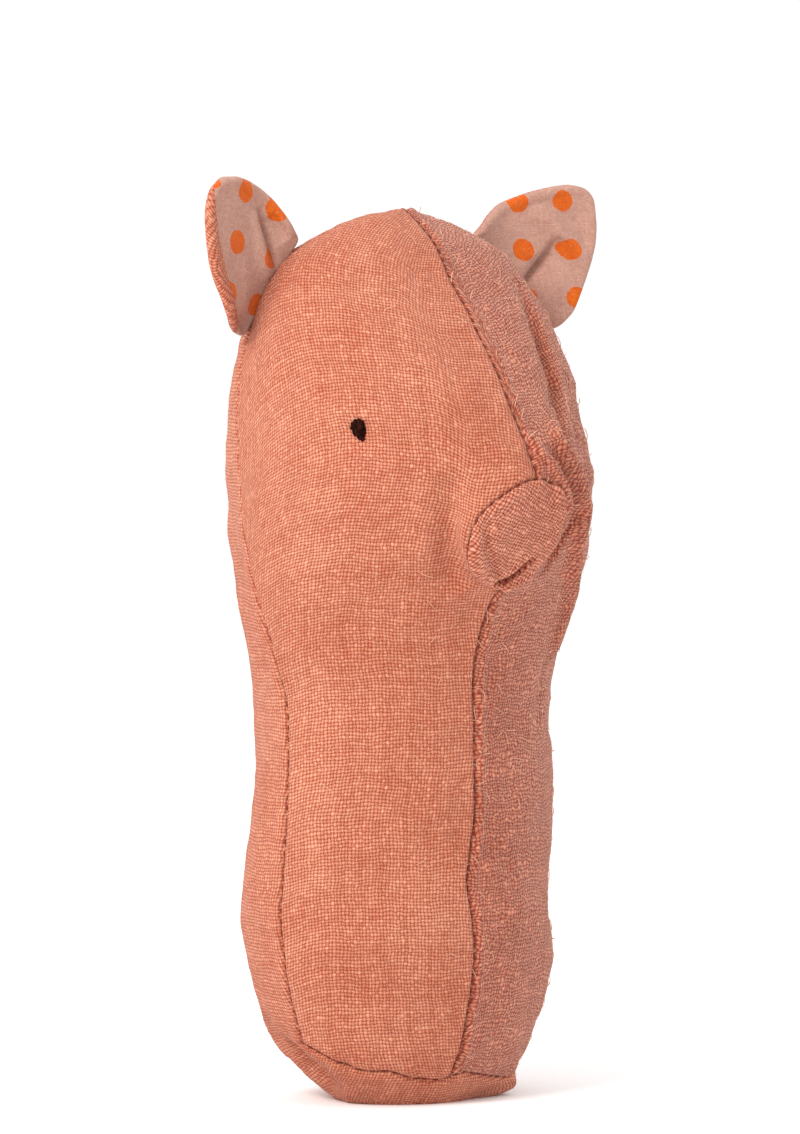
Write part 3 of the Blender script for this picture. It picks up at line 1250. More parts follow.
# %% Finish of the filling, and others of its kind
def mottled(name, dark, light, scale, detail, stretch=None, band=None, relief=None, rough=0.9, spread=0.0, **more):
    """A finish in two shades of one soft noise, which may also give it relief and uneven roughness."""
    finish, tree, shader = new_finish(name)
    place = add_node(tree, "ShaderNodeTexCoord").outputs["Object"]
    mottle = noise(tree, place, scale, detail, stretch)
    share = remap(tree, mottle, *band) if band else mottle
    feed(tree, shader, {"Base Color": blend_colour(tree, share, (*dark, 1), (*light, 1)), "Roughness": rough})
    if spread:
        feed(tree, shader, {"Roughness": remap(tree, mottle, 0.2, 0.8, rough - spread, rough + spread)})
    if relief:
        feed(tree, shader, {"Normal": bumped(tree, mottle, *relief)})
    feed(tree, shader, {key.replace("_", " "): value for key, value in more.items()})
    return finish


fibre = mottled(
    "fibre", (0.72, 0.70, 0.65), (0.90, 0.89, 0.85), 900.0, 6.0, stretch=(1.0, 1.0, 0.4),
    relief=(0.8, 0.0004), rough=1.0, Sheen_Weight=0.5,
)
for name, node, pole, way in (
    ("filling_head", "head_filling", CROWN - 0.06, 1),
    ("filling_handle", "handle_filling", SOLE_POLE, -1),
):
    stuffing = filling(name, pole, way)
    dress(stuffing, node, "toy", "filling", fibre)
    print(name, len(stuffing.data.polygons), "faces")

# %% [markdown]
# ## Ears
# An ear is a leaf of linen and a leaf of dotted cotton, sewn together face to face, turned, and caught in the side
# seam. Its edge is soft and round, because the seam allowances lie inside. On the toy's right ear the linen rolls
# round the outer edge to the front, so a strip of it shows beside the cotton. On the left ear the cotton
# reaches the edge, and a pinched fold crosses it.
# Both were cut alike, but each was turned and pressed a little differently, so each outline is its own.

# %% Ear shape
EAR_TOP, EAR_FOOT = np.array([17.6, 4.2, 144.5]), np.array([26.2, 8.2, 128.0])  # ends of the sewn base
EAR_PROUD = 1.2  # the base stands this far outside the line between them
ear_up = unit(EAR_TOP - EAR_FOOT)
ear_ahead = unit(np.cross((1.0, 0.0, 0.0), ear_up))
ear_out = np.cross(ear_up, ear_ahead)
ear_base = (EAR_TOP + EAR_FOOT) / 2 + EAR_PROUD * ear_out
EAR_TILT, EAR_TWIST, TWIST_RAMP = 0.2, -0.33, 8.0
CURL_TOP, CURL_LONG, CURL_RAMP = 11, 22, 12
EAR_HEART = np.array([2.2, 9.4])  # the spokes of the ear's grid start here
ROOT_DEPTH, ROOT_NARROWS = 1.0, 0.3  # how far the base goes into the side seam, and narrows at each end there
EAR_EDGE_ROUND, ROOT_ROUND = 0.62, 0.34
BACK_PUFF, LINING_PUFF = 0.40, 0.30  # from the middle of the ear to its faces
ROLLED_STRIP = 2.2  # width of the linen strip in front
SEAM_BEHIND = 0.2  # elsewhere the cotton rolls round the edge, and the seam lies behind; 2 would be the strip's edge

# Outlines lie on the flat ear: up along the sewn base, out from the head. So do fold lines and printed dots.
EARS = {
    "left": dict(
        side=1,
        edge=[(-9.5, 0), (-10.7, 3.2), (-10.5, 6.5), (-8.8, 9.9), (-4.8, 14.7), (-3.0, 16.7), (-0.6, 18.9), (1.9, 20.5),
              (4.6, 21.7), (6.0, 22.1), (7.7, 21.7), (9.2, 19.7), (10.1, 16.5), (10.7, 13.0), (10.9, 10.1), (10.9, 6.8),
              (10.7, 3.1), (9.6, 0)],
        curl=3.0,
        strip=lambda share: 0 * share,
        folds=[
            (1.0, 1.4, [(8.6, 11.4), (5.5, 13.5), (2.6, 14.3), (0.6, 15.3), (-3.2, 16.2), (-5.2, 15.4)]),
            (-2.0, 1.0, [(2.6, 13.8), (1.3, 11.9), (0.3, 10.1), (-1.0, 7.6), (-2.6, 5.0), (-3.8, 2.6)]),
            (0.5, 1.6, [(3.4, 11.0), (2.4, 8.4), (0.8, 5.2), (-0.2, 2.6)]),
            (0.6, 2.4, [(-2.4, 12.8), (-4.4, 9.4), (-6.0, 5.6)]),
            (-0.5, 1.2, [(6.4, 15.2), (3.6, 17.2), (0.6, 17.6), (-2.2, 17.9)]),
        ],
        dots=[(7.35, 2.78), (2.72, -7.11), (0.37, 14.25)],
    ),
    "right": dict(
        side=-1,
        edge=[(-9.5, 0), (-8.9, 4.0), (-7.3, 7.4), (-4.9, 11.4), (-2.4, 14.6), (0.5, 17.0), (3.7, 19.0), (6.1, 20.0),
              (8.4, 20.2), (11.0, 18.8), (12.6, 15.2), (13.1, 12.0), (13.1, 8.4), (12.7, 6.0), (11.7, 3.8), (9.7, 0)],
        curl=0.8,
        strip=lambda share: smooth(share / 0.08) * smooth((0.42 - share) / 0.08),
        folds=[
            (-1.5, 0.8, [(10.4, 8.6), (8.6, 6.6), (6.9, 4.6), (4.6, 2.4), (3.2, 0.2)]),
            (0.9, 1.2, [(9.2, 9.2), (7.0, 7.0), (4.8, 5.0), (2.6, 2.6), (1.4, 0.4)]),
            (-0.9, 2.6, [(10.6, 5.6), (9.4, 3.4), (8.2, 1.2)]),
            (0.3, 1.2, [(-6.0, 2.5), (-2.0, 5.5), (2.2, 7.2)]),
            (-0.3, 1.2, [(-3.5, 4.2), (-1.0, 8.6), (1.2, 12.4)]),
        ],
        dots=[(-1.12, 8.42), (8.18, 1.88), (-3.83, 0.5)],
        tuck=(1.3, (10.6, 9.4), (2.5, -0.2)),  # the cloth that the fold hides, and where the fold starts and ends
    ),
}

# %% Places on an ear
def ear_place(side, curl, flat, depth):
    """A point of the ear: from its flat place and its depth through the cloth to the toy's frame."""
    up, out = flat[..., 0], flat[..., 1]
    bend = curl * np.clip(1 - (up + CURL_TOP) / CURL_LONG, 0, 1) ** 2 * smooth(out / CURL_RAMP)
    ahead = bend + EAR_TILT * np.maximum(out, 0) + EAR_TWIST * up * smooth(out / TWIST_RAMP) + depth
    points = ear_base + up[..., None] * ear_up + out[..., None] * ear_out + ahead[..., None] * ear_ahead
    return points * (side, 1, 1)


OUTLINE_STEP, OUTLINE_SOFT = 0.1, 15  # the outline is rounded over this many steps to each side


def ear_outline(edge, count):
    """The rounded outline through the measured places, down into the seam and back along the root."""
    root = [(edge[-1][0] - ROOT_NARROWS, -ROOT_DEPTH), (edge[0][0] + ROOT_NARROWS, -ROOT_DEPTH)]
    corners = np.array([*edge, *root, edge[0]], float)
    line = resampled(corners, OUTLINE_STEP)[:-1]
    window = np.hanning(2 * OUTLINE_SOFT + 1)
    wrapped = np.concatenate([line[-OUTLINE_SOFT:], line, line[:OUTLINE_SOFT]])
    rounded = np.stack([np.convolve(wrapped[:, k], window / window.sum(), "valid") for k in (0, 1)], -1)
    return pick(rounded, np.linspace(0, len(rounded) - 1, count, endpoint=False))


print("ear base is", round(float(np.linalg.norm(EAR_TOP - EAR_FOOT)), 1), "mm long")

# %% Rows of the ear's cloths
EAR_SPOKES, EAR_FACE_ROWS, EAR_EDGE_ROWS = 240, 44, 14
ROW_CROWD = 1.15  # the rows of the faces crowd a little towards the edge
EDGE_FADE = 1.6  # the back is thicker within this distance of the edge
LINEN_TUCK = (0.18, 0.45, 0.4)  # how the last row goes in at the seam: inset, depth and run
COTTON_TUCK = (0.30, 0.40)


def edge_path(q, round_edge):
    """Inset from the outline, depth, and run on the flat cloth: q is 0 behind the edge, 1 and more in front."""
    angle = -math.pi / 2 + math.pi * np.minimum(q, 1)
    ahead = np.maximum(q - 1, 0)
    inset = round_edge * (1 - np.cos(angle)) + (ROLLED_STRIP - round_edge) * ahead
    depth = round_edge * np.sin(angle) + (LINING_PUFF - round_edge) * smooth(ahead)
    run = round_edge * (math.pi * (np.minimum(q, 1) - 0.5)) + (ROLLED_STRIP - round_edge) * ahead
    return inset, depth, run


def back_rows(length, round_edge, seam):
    """Insets, depths and runs of the linen's rows, from the ear's middle round its edge to the seam."""
    rows = []
    for w in np.linspace(0, 1, EAR_FACE_ROWS):
        inset = round_edge + (length - round_edge) * (1 - w) ** ROW_CROWD
        depth = -(BACK_PUFF + (round_edge - BACK_PUFF) * bell((inset - round_edge) / EDGE_FADE))
        rows.append((inset, depth, -inset))
    for w in np.linspace(0, 1, EAR_EDGE_ROWS)[1:]:
        rows.append(edge_path(seam * w, round_edge))
    inset, depth, run = rows[-1]
    return rows + [(inset + LINEN_TUCK[0], depth - LINEN_TUCK[1] * np.sign(seam - 1), run + LINEN_TUCK[2])]


def lining_rows(length, round_edge, seam):
    """The same for the cotton, from the ear's middle to the seam."""
    rows = []
    for w in np.linspace(0, 1, EAR_FACE_ROWS):
        inset = ROLLED_STRIP + (length - ROLLED_STRIP) * (1 - w) ** ROW_CROWD
        rows.append((inset, LINING_PUFF + 0 * inset, -inset))
    for w in np.linspace(0, 1, EAR_EDGE_ROWS)[1:]:
        inset, depth, run = edge_path(2 + (seam - 2) * w, round_edge)
        rows.append((inset, depth, -inset - (math.pi / 2 - 1) * np.minimum(0, run)))
    inset, depth, _ = rows[-1]
    return rows + [(inset + COTTON_TUCK[0], depth - COTTON_TUCK[1] * np.sign(seam - 1), -inset)]


# %% Ear cloth
EAR_LINEN_THICK, COTTON_THICK = 0.38, 0.22
EAR_GRAIN = np.array([[0.75, 0.66], [-0.66, 0.75]])
EAR_WAVE, EAR_WAVE_SIZE, EAR_WAVE_SEED = 0.07, 5.0, 11
ROOT_FROM, ROOT_RAMP = 0.8, 1.2  # where the ear turns into its root, and over how much
FADE_FROM, FADE_RAMP = 0.2, 1.5  # folds fade out towards the edge
DOT_PITCH, DOT_RADIUS = 8.4, 1.9
TUCK_SOFT = 0.3  # half the width of the line where a fold hides cloth
STRIP_WHOLE = 0.9  # the linen strip is sewn down where it has this share of its width
EAR_SEAMS = {}  # the sewn line in front, where the linen strip meets the cotton


def print_place(ear, flat, lying):
    """Where a point of the lining lies on the printed cloth; a fold hides some of the cloth beyond its line."""
    if "tuck" in ear:
        hidden, start, end = (np.array(v) for v in ear["tuck"])
        way = unit(end - start)
        beyond = np.array([way[1], -way[0]]) * ear["side"]
        lying = lying + beyond * hidden * smooth(((flat - start) @ beyond + TUCK_SOFT) / (2 * TUCK_SOFT))[..., None]
    along, across, start = (np.array(v) for v in ear["dots"])
    return (lying - start) @ np.linalg.inv(np.stack([along, across])) * DOT_PITCH


def ear_piece(name, ear, part):
    """One of the ear's two cloths."""
    outline = ear_outline(ear["edge"], EAR_SPOKES)
    spoke = outline - EAR_HEART
    length = np.linalg.norm(spoke, axis=1)
    root = smooth((ROOT_FROM - outline[:, 1]) / ROOT_RAMP)
    strip = ear["strip"](np.arange(EAR_SPOKES) / EAR_SPOKES) * (1 - root)
    round_edge = EAR_EDGE_ROUND * (1 - root) + ROOT_ROUND * root
    seam = SEAM_BEHIND + (2 - SEAM_BEHIND) * strip
    rows = (back_rows if part == "back" else lining_rows)(length, round_edge, seam)
    inset, depth, run = (np.stack(values) for values in zip(*rows))
    flat = outline - spoke / length[:, None] * inset[..., None]
    lying = outline + spoke / length[:, None] * run[..., None]
    for rise, width, places in ear["folds"]:
        fold = fold_height(flat, resampled(np.array(places, float), FOLD_STEP), rise, width)
        depth = depth + smooth((inset - FADE_FROM) / FADE_RAMP) * fold
    depth = depth + EAR_WAVE * waves(np.dstack([flat, 0 * inset]), EAR_WAVE_SIZE, EAR_WAVE_SEED + ear["side"])
    points = ear_place(ear["side"], ear["curl"], flat, depth)
    if part == "back":
        uv, thick = lying @ EAR_GRAIN + EAR_CUT, EAR_LINEN_THICK
    else:
        uv, thick = print_place(ear, flat, lying), COTTON_THICK
        EAR_SEAMS[ear["side"]] = points[-2][strip > STRIP_WHOLE]
    faces = grid_faces(len(rows), EAR_SPOKES, flip=(ear["side"] > 0) == (part == "back"), closed=True)
    uv = uv.reshape(-1, 2)
    return cloth_piece(name, points.reshape(-1, 3), faces, uv[faces], thick, uv)


ear_pieces = {}
for word, ear in EARS.items():
    for part in ("back", "lining"):
        ear_pieces[word, part] = ear_piece(f"ear_{part}_{word}", ear, part)
        print(f"ear_{part}_{word}", len(ear_pieces[word, part].data.polygons), "faces")

# %% [markdown]
# The ear cotton is much finer than the linen, dusty pink, and printed with orange dots on a square lattice. The print
# lies on the cloth's own flat map, so it bends with the ear and is cut off at the seam, as a real print is.

# %% Ear cotton
COTTON_THREADS = 3800.0  # in a metre
DOT_RAGGED, DOT_SOFT, DOT_WORN = 0.035, 0.008, 0.45


def dot_print(tree, flat):
    """Where ink lies: round dots with ragged rims, a little worn."""
    pitch = 1 / (DOT_PITCH * MM)
    lattice = vector_calc(tree, "MULTIPLY", flat, (pitch, pitch, 0))
    cell = vector_calc(tree, "FRACTION", vector_calc(tree, "ADD", lattice, (0.5, 0.5, 0)))
    away = vector_calc(tree, "LENGTH", vector_calc(tree, "SUBTRACT", cell, (0.5, 0.5, 0)), result="Value")
    ragged = swayed(tree, away, noise(tree, flat, 1500.0, 3.0), DOT_RAGGED)
    radius = DOT_RADIUS / DOT_PITCH
    ink = remap(tree, ragged, radius + DOT_SOFT, radius - DOT_SOFT)
    worn = remap(tree, noise(tree, flat, 1900.0, 2.0), 0.60, 0.72)
    return calc(tree, "MULTIPLY", ink, calc(tree, "MULTIPLY_ADD", worn, -DOT_WORN, 1.0))


def dotted_cotton():
    finish, tree, shader = new_finish("dotted_cotton")
    flat, weave = woven(tree, COTTON_THREADS, wander=0.5, slubs=0.1, width=0.95)
    tone = swayed(tree, weave["Tone"], noise(tree, flat, 300.0, 3.0), 0.8)
    tone = calc(tree, "MULTIPLY", tone, 1.0, clamp=True)
    ground = blend_colour(tree, tone, (0.37, 0.190, 0.145, 1), (0.50, 0.29, 0.225, 1))
    ink = blend_colour(tree, tone, (0.49, 0.070, 0.002, 1), (0.62, 0.122, 0.004, 1))
    colour = blend_colour(tree, dot_print(tree, flat), ground, ink)
    colour = blend_colour(tree, calc(tree, "MULTIPLY", weave["Gap"], 0.5), colour, (0.32, 0.12, 0.09, 1))
    feed(tree, shader, {
        "Base Color": colour, "Normal": bumped(tree, weave["Height"], 0.6, 0.00006), "Roughness": 0.85,
        "Sheen Weight": 0.1, "Sheen Tint": (1.0, 0.88, 0.82, 1.0), "Specular IOR Level": 0.2,
    })
    return finish


# %% Dress the ears
EAR_BENDS_TO = 3.0  # the root stays in the seam when an ear folds, and the cloth bends up to this far out


def ear_bend(word):
    """Where the ear's cloth starts to follow the ear, and where it follows it wholly."""
    places = [(ear_base + out * ear_out) * (EARS[word]["side"], 1, 1) * MM for out in (-ROOT_DEPTH, EAR_BENDS_TO)]
    return [tuple(float(v) for v in place) for place in places]


EAR_CLOTHS = {"back": ("linen", linen_taut), "lining": ("ear_cotton", dotted_cotton())}
for (word, part), piece in ear_pieces.items():
    dress(piece, f"ear_{word}_{part}", f"ear_{word}", *EAR_CLOTHS[part], bends=ear_bend(word))

# %% [markdown]
# ## Eyes
# Each eye is a few satin stitches of dark brown thread, side by side. They start far apart and go into the cloth close
# together at the cheek, which gives the eye its slanted drop shape. The thread dips into the linen at both ends.

# %% Eye stitches
THREAD_RADIUS = 0.38
THREAD_SUNK = 0.55  # the thread lies on the cloth with this share of its radius
STITCH_ARCH, STITCH_DIP = 0.34, 0.9  # it rises in the middle, and goes this deep past its ends
STITCH_PAST = 0.12  # share of its length that dips in at each end
STITCH_OVER = 0.05  # every second stitch lies this much higher
EYE_CLEAR, EYE_REACH = 6, 0.02  # the ray that finds the cloth starts this far out, and goes this many metres
# Start and end of each stitch about the eye's middle: to the toy's left, and up.
EYE_STITCHES = [
    ((-1.02, 0.35), (0.55, -1.40)),
    ((-0.95, 0.95), (0.80, -1.35)),
    ((-0.55, 1.42), (1.00, -1.00)),
    ((0.05, 1.55), (1.08, -0.45)),
    ((0.62, 1.30), (1.02, 0.10)),
    ((-0.62, -0.45), (1.00, -1.60)),
]


def tube(path, radius, sides=10):
    """Rings of points along a path, closed with a point at each end."""
    path = np.array(path)
    ahead = unit(np.gradient(path, axis=0))
    side = unit(np.cross(ahead, (0.3, 0.2, 0.93)))
    up = np.cross(side, ahead)
    turn = np.linspace(0, 2 * math.pi, sides, endpoint=False)[:, None]
    ring = path[:, None] + radius * (np.cos(turn) * side[:, None] + np.sin(turn) * up[:, None])
    points = np.concatenate([path[:1], ring.reshape(-1, 3), path[-1:]])
    number = 1 + np.arange(len(path) * sides).reshape(len(path), sides)
    faces = []
    for a, b in zip(number[:-1], number[1:]):
        faces += [[a[k], a[k - 1], b[k - 1], b[k]] for k in range(sides)]
    faces += [[0, number[0][k - 1], number[0][k]] for k in range(sides)]
    faces += [[len(points) - 1, number[-1][k], number[-1][k - 1]] for k in range(sides)]
    return points, faces


def eye(name, side, panel):
    turn, level = eye_place(side)
    middle, out = form(turn, level), outward(turn, level)
    across = unit(np.cross((0, 0, 1.0), out))
    up = np.cross(out, across)
    skin = BVHTree.FromObject(panel, bpy.context.evaluated_depsgraph_get())
    points, faces = [], []
    for layer, ends in enumerate(EYE_STITCHES):
        start, end = np.array(ends)
        path = []
        for w in np.linspace(-STITCH_PAST, 1 + STITCH_PAST, 25):
            place = start + (end - start) * np.clip(w, 0, 1)
            spot = middle + across * place[0] * -side + up * place[1]
            hit = skin.ray_cast(Vector((spot + out * EYE_CLEAR) * MM), Vector(-out), EYE_REACH)[0]
            arch = STITCH_ARCH * math.sin(math.pi * min(max(w, 0), 1)) ** 0.7
            dip = STITCH_DIP * max(0.0, -w, w - 1) / STITCH_PAST
            lift = THREAD_RADIUS * THREAD_SUNK + arch - dip + STITCH_OVER * (layer % 2)
            path.append(np.array(hit) / MM + out * lift)
        more, ring = tube(path, THREAD_RADIUS)
        faces += [[v + len(points) for v in face] for face in ring]
        points += more.tolist()
    return new_piece(name, np.array(points), faces)


eye_thread = mottled(
    "eye_thread", (0.006, 0.0012, 0.001), (0.040, 0.008, 0.004), 2600.0, 3.0, stretch=(1.0, 1.0, 0.35),
    band=(0.35, 0.75), relief=(0.3, 0.00005), rough=0.42, Specular_IOR_Level=0.05, IOR=1.3,
)
for word, side, panel in (("left", 1, face_left), ("right", -1, face_right)):
    stitched = eye(f"stitched_eye_{word}", side, panel)
    dress(stitched, f"eye_{word}", "toy", "eye_thread", eye_thread)
    print(stitched.name, len(stitched.data.polygons), "faces at", np.round(stitched.data.vertices[0].co / MM, 1))

# %% [markdown]
# The capsule is a bought part: two moulded cups of natural plastic that snap together, with five steel balls in them.
# Nothing of it shows while the toy is whole. Its shape is already right in the CAD, so it only gets its finishes.

# %% Capsule and balls
plastic = mottled("capsule_plastic", (0.76, 0.75, 0.70), (0.84, 0.83, 0.78), 120.0, 4.0, rough=0.4, spread=0.06)
steel = mottled(
    "ball_steel", (0.50, 0.51, 0.52), (0.60, 0.61, 0.62), 700.0, 4.0, rough=0.25, spread=0.06, Metallic=1.0
)
RATTLE = {node: ("capsule", plastic) for node in ("rattle_cup", "rattle_cap")}
RATTLE.update({f"rattle_ball_{number}": ("ball_steel", steel) for number in range(1, 6)})
for node, (slot, finish) in RATTLE.items():
    piece = bpy.data.objects[node]
    piece.data.materials.clear()
    piece.data.materials.append(finish)
print(len(RATTLE), "pieces of the rattle have their finishes")

# %% [markdown]
# ## Sewing thread and fuzz
# The seams are machine stitched from inside and pulled open by the filling, so the thread shows in them as short dark
# dashes, two millimetres apart. Linen also sheds: short fibres stand up all over it and make its outline soft, and on
# the toy's left some long ones lie across the weave. Both repeat, so geometry nodes make them: dashes along the
# lines of the seams, and bent hairs scattered over the cloth.

# %% Helpers for what is made with geometry nodes
def node_tree_with(name, sockets):
    """An empty geometry tree with named inputs; returns the tree and its inputs."""
    tree = bpy.data.node_groups.new(name, "GeometryNodeTree")
    name_inputs(tree, [("Geometry", "Geometry", None), *sockets, ("Material", "Material", None)])
    tree.interface.new_socket(name="Geometry", in_out="OUTPUT", socket_type="NodeSocketGeometry")
    return tree, add_node(tree, "NodeGroupInput").outputs


def grown(name, base, tree, values):
    """Runs a geometry tree on a base object and gives back what it makes as a plain object."""
    modifier = base.modifiers.new("grown", "NODES")
    modifier.node_group = tree
    for item in tree.interface.items_tree:
        if item.in_out == "INPUT" and item.name in values:
            modifier[item.identifier] = values[item.name]
    mesh = evaluated_mesh(base)
    base.modifiers.remove(modifier)
    mesh.name = name
    mesh.shade_smooth()
    piece = new_object(name, mesh)
    print(name, len(mesh.polygons), "faces")
    return piece


def bent_fibre(tree, start, middle, end, steps, sides, radius):
    """A thin tube along a quadratic curve."""
    inputs = {"Resolution": steps, "Start": start, "Middle": middle, "End": end}
    line = add_node(tree, "GeometryNodeCurveQuadraticBezier", inputs)
    ring = add_node(tree, "GeometryNodeCurvePrimitiveCircle", {"Resolution": sides, "Radius": radius})
    inputs = {"Curve": line.outputs[0], "Profile Curve": ring.outputs[0], "Fill Caps": True}
    return add_node(tree, "GeometryNodeCurveToMesh", inputs).outputs[0]


def drawn(tree, low, high, seed, kind="FLOAT"):
    """A random number for each point; numbers have their sockets at places 2, 3 and 1, vectors at 0, 1 and 0."""
    first = 2 if kind == "FLOAT" else 0
    inputs = {first: low, first + 1: high, "Seed": seed}
    return add_node(tree, "FunctionNodeRandomValue", inputs, data_type=kind).outputs[first // 2]


def turned(tree, rotation, by):
    inputs = {"Rotation": rotation, "Rotate By": by}
    return add_node(tree, "FunctionNodeRotateRotation", inputs, rotation_space="LOCAL").outputs[0]


def planted(tree, points, thing, rotation, scale, material):
    """Ends a tree: the thing at each point, made real, with its material."""
    inputs = {"Points": points, "Instance": thing, "Rotation": rotation, "Scale": scale}
    instances = add_node(tree, "GeometryNodeInstanceOnPoints", inputs)
    made = add_node(tree, "GeometryNodeRealizeInstances", {"Geometry": instances.outputs[0]})
    finished = add_node(tree, "GeometryNodeSetMaterial", {"Geometry": made.outputs[0], "Material": material})
    add_node(tree, "NodeGroupOutput", {"Geometry": finished.outputs[0]})


# %% Stitches along the seams
STITCH_PITCH, STITCH_LONG, STITCH_RADIUS = 1.9, 1.05, 0.12
STITCH_LIFT = 0.22  # above the bottom of the seam's valley
STITCH_DIPS, STITCH_STANDS = -0.16, 0.22  # the ends and the middle of a dash, from its line
STITCH_SLANT, STITCH_SIZE = ((0, 0, 0.05), (0, 0, 0.35)), (0.6, 1.2)  # least and most
STITCH_SEED = 3
SEAM_OPENS = 0.3  # the snout's stitches show where its seam does by this share


def stitch_tree():
    tree, given = node_tree_with("stitches", [("Pitch", "Float", STITCH_PITCH * MM), ("Seed", "Int", STITCH_SEED)])
    half = STITCH_LONG / 2 * MM
    ends = [(0, way * half, STITCH_DIPS * MM) for way in (-1, 1)]
    dash = bent_fibre(tree, ends[0], (0, 0, STITCH_STANDS * MM), ends[1], 4, 5, STITCH_RADIUS * MM)
    line = add_node(tree, "GeometryNodeMeshToCurve", {"Mesh": given["Geometry"]})
    inputs = {"Curve": line.outputs[0], "Length": given["Pitch"]}
    dots = add_node(tree, "GeometryNodeResampleCurve", inputs, mode="LENGTH")
    out = add_node(tree, "GeometryNodeInputNamedAttribute", {"Name": "out"}, data_type="FLOAT_VECTOR").outputs[0]
    risen = add_node(tree, "FunctionNodeAlignRotationToVector", {"Vector": out}, axis="Z")
    inputs = {"Rotation": risen.outputs[0], "Vector": add_node(tree, "GeometryNodeInputTangent").outputs[0]}
    laid = add_node(tree, "FunctionNodeAlignRotationToVector", inputs, axis="Y", pivot_axis="Z")
    slant = drawn(tree, *STITCH_SLANT, given["Seed"], kind="FLOAT_VECTOR")
    size = drawn(tree, *STITCH_SIZE, given["Seed"])
    planted(tree, dots.outputs[0], dash, turned(tree, laid.outputs[0], slant), size, given["Material"])
    return tree


def seam_object(name, chains):
    """Edges along the seams, with the way out of the cloth at each point."""
    points = np.concatenate(chains)
    starts = np.cumsum([0] + [len(chain) for chain in chains[:-1]])
    edges = [(first + k, first + k + 1) for first, chain in zip(starts, chains) for k in range(len(chain) - 1)]
    base = new_piece(name, points[:, :3], [], edges)
    base.data.attributes.new("out", "FLOAT_VECTOR", "POINT").data.foreach_set("vector", points[:, 3:].ravel())
    return base


seam_thread = mottled(
    "sewing_thread", (0.10, 0.014, 0.008), (0.30, 0.06, 0.03), 900.0, 2.0, rough=0.7, Specular_IOR_Level=0.15
)
stitch_nodes = stitch_tree()
STITCHED = {"toy": ("seam_stitches", [])}
for name, line in SEAM_LINES.items():
    if name == "snout":
        line = line[snout_seam_shows(snout_polar(line[:, :3])[1]) > SEAM_OPENS]
    out = unit(line[:, 3:])
    STITCHED["toy"][1].append(np.hstack([dressed(line[:, :3], out) + out * STITCH_LIFT, out]))
for word, ear in EARS.items():
    if len(EAR_SEAMS[ear["side"]]) > 1:
        line = resampled(EAR_SEAMS[ear["side"]])
        out = np.broadcast_to(ear_ahead * (ear["side"], 1, 1), line.shape)
        STITCHED[f"ear_{word}"] = (f"ear_stitches_{word}", [np.hstack([line, out])])
for body, (name, chains) in STITCHED.items():
    base = seam_object(name + "_lines", chains)
    values = {"Pitch": STITCH_PITCH * MM, "Material": seam_thread, "Seed": STITCH_SEED}
    stitches = grown(name, base, stitch_nodes, values)
    bpy.data.objects.remove(base)
    if body == "toy":
        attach(stitches, body)
    else:
        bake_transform(stitches)

# %% Fuzz on the linen
FIBRE_LONG, FIBRE_RADIUS = 0.7, 0.022
FIBRE_SHAPE = ((0, 0, -0.06), (0.05, 0, 0.55), (0.5, 0, 0.8))  # start, middle and end of one, for a length of 1
FIBRE_SHORTEST, FIBRE_LONGEST = 0.4, 1.5  # as shares of the given length


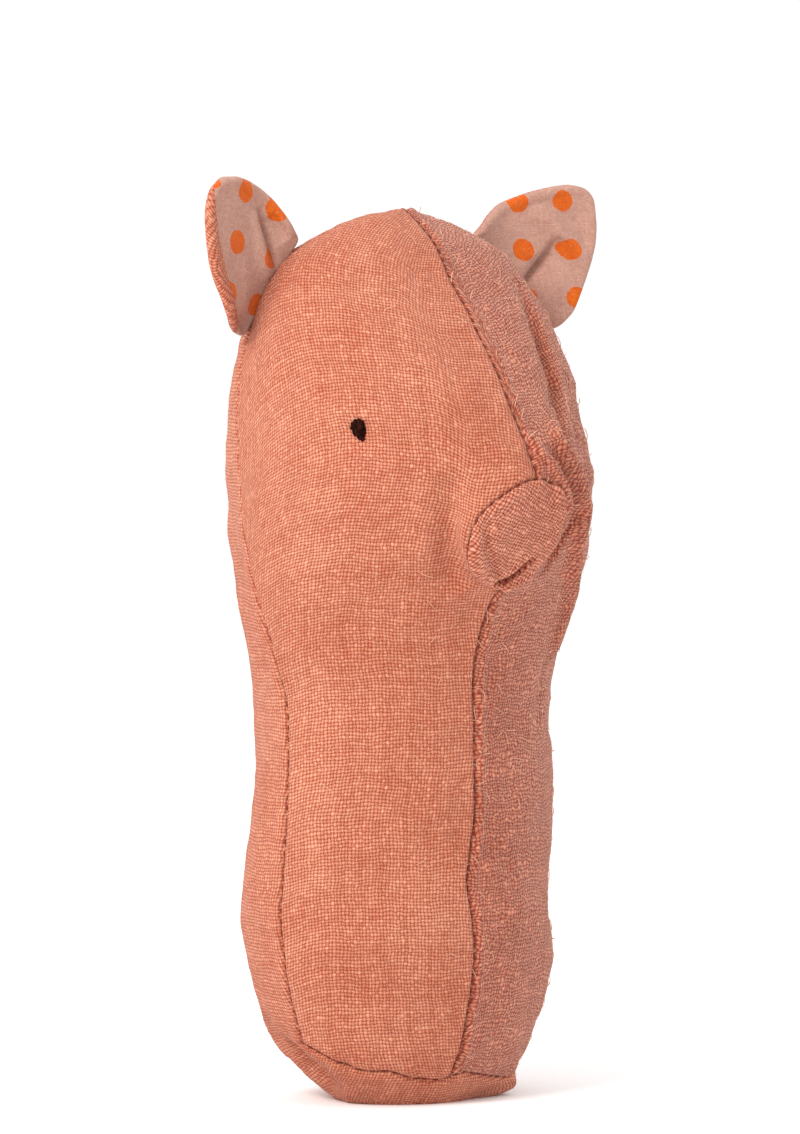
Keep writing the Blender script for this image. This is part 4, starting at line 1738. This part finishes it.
def fuzz_tree():
    tree, given = node_tree_with("fuzz", [
        ("Per square metre", "Float", 1e6), ("Length", "Float", FIBRE_LONG * MM),
        ("Least lean", "Float", 0.0), ("Most lean", "Float", 0.9), ("Seed", "Int", 1),
    ])
    hair = bent_fibre(tree, *FIBRE_SHAPE, 3, 3, FIBRE_RADIUS / FIBRE_LONG)
    # Only the outer face of the cloth, which looks away from the toy's axis, has fuzz.
    place = vector_calc(tree, "MULTIPLY", add_node(tree, "GeometryNodeInputPosition").outputs[0], (1, 1, 0.0))
    normal = add_node(tree, "GeometryNodeInputNormal").outputs[0]
    inputs = {0: vector_calc(tree, "DOT_PRODUCT", place, normal, result="Value"), 1: 0.0}
    outer = add_node(tree, "FunctionNodeCompare", inputs, data_type="FLOAT", operation="GREATER_THAN").outputs[0]
    inputs = {"Mesh": given["Geometry"], "Selection": outer, "Seed": given["Seed"]}
    inputs["Density"] = given["Per square metre"]
    dots = add_node(tree, "GeometryNodeDistributePointsOnFaces", inputs, distribute_method="RANDOM").outputs
    spin = drawn(tree, -math.pi, math.pi, given["Seed"])
    lean = drawn(tree, given["Least lean"], given["Most lean"], calc(tree, "ADD", given["Seed"], 100))
    rotation = dots["Rotation"]
    for axis, angle in ((2, spin), (1, lean)):
        rotation = turned(tree, rotation, add_node(tree, "ShaderNodeCombineXYZ", {axis: angle}).outputs[0])
    short, long = (calc(tree, "MULTIPLY", given["Length"], share) for share in (FIBRE_SHORTEST, FIBRE_LONGEST))
    planted(tree, dots["Points"], hair, rotation, drawn(tree, short, long, given["Seed"]), given["Material"])
    return tree


fuzz_nodes = fuzz_tree()
linen_fibre = mottled(
    "linen_fibre", (0.62, 0.33, 0.22), (0.806, 0.429, 0.286), 400.0, 2.0, rough=0.9, Specular_IOR_Level=0.2
)
# For each kind: the panel, fibres in each square centimetre, their length, and the least and most lean, in radians.
FUZZ = [
    ("fuzz_face_left", face_left, 60, 0.55, 0.2, 1.1),
    ("fuzz_face_right", face_right, 60, 0.5, 0.2, 1.1),
    ("fuzz_back", back, 45, 0.5, 0.2, 1.1),
    ("fuzz_snout", disc, 80, 0.5, 0.2, 1.1),
    ("lint_face_left", face_left, 7, 2.0, 0.98, 1.15),
    ("lint_face_right", face_right, 1, 1.8, 1.0, 1.15),
]
FUZZ_SEED = 20
PER_SQUARE_METRE = 1e4  # for one in a square centimetre
for number, (name, panel, density, length, least, most) in enumerate(FUZZ):
    values = {"Per square metre": density * PER_SQUARE_METRE, "Length": length * MM, "Seed": FUZZ_SEED + number}
    values.update({"Least lean": least, "Most lean": most, "Material": linen_fibre})
    fuzz = grown(name, panel, fuzz_nodes, values)
    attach(fuzz, "toy")
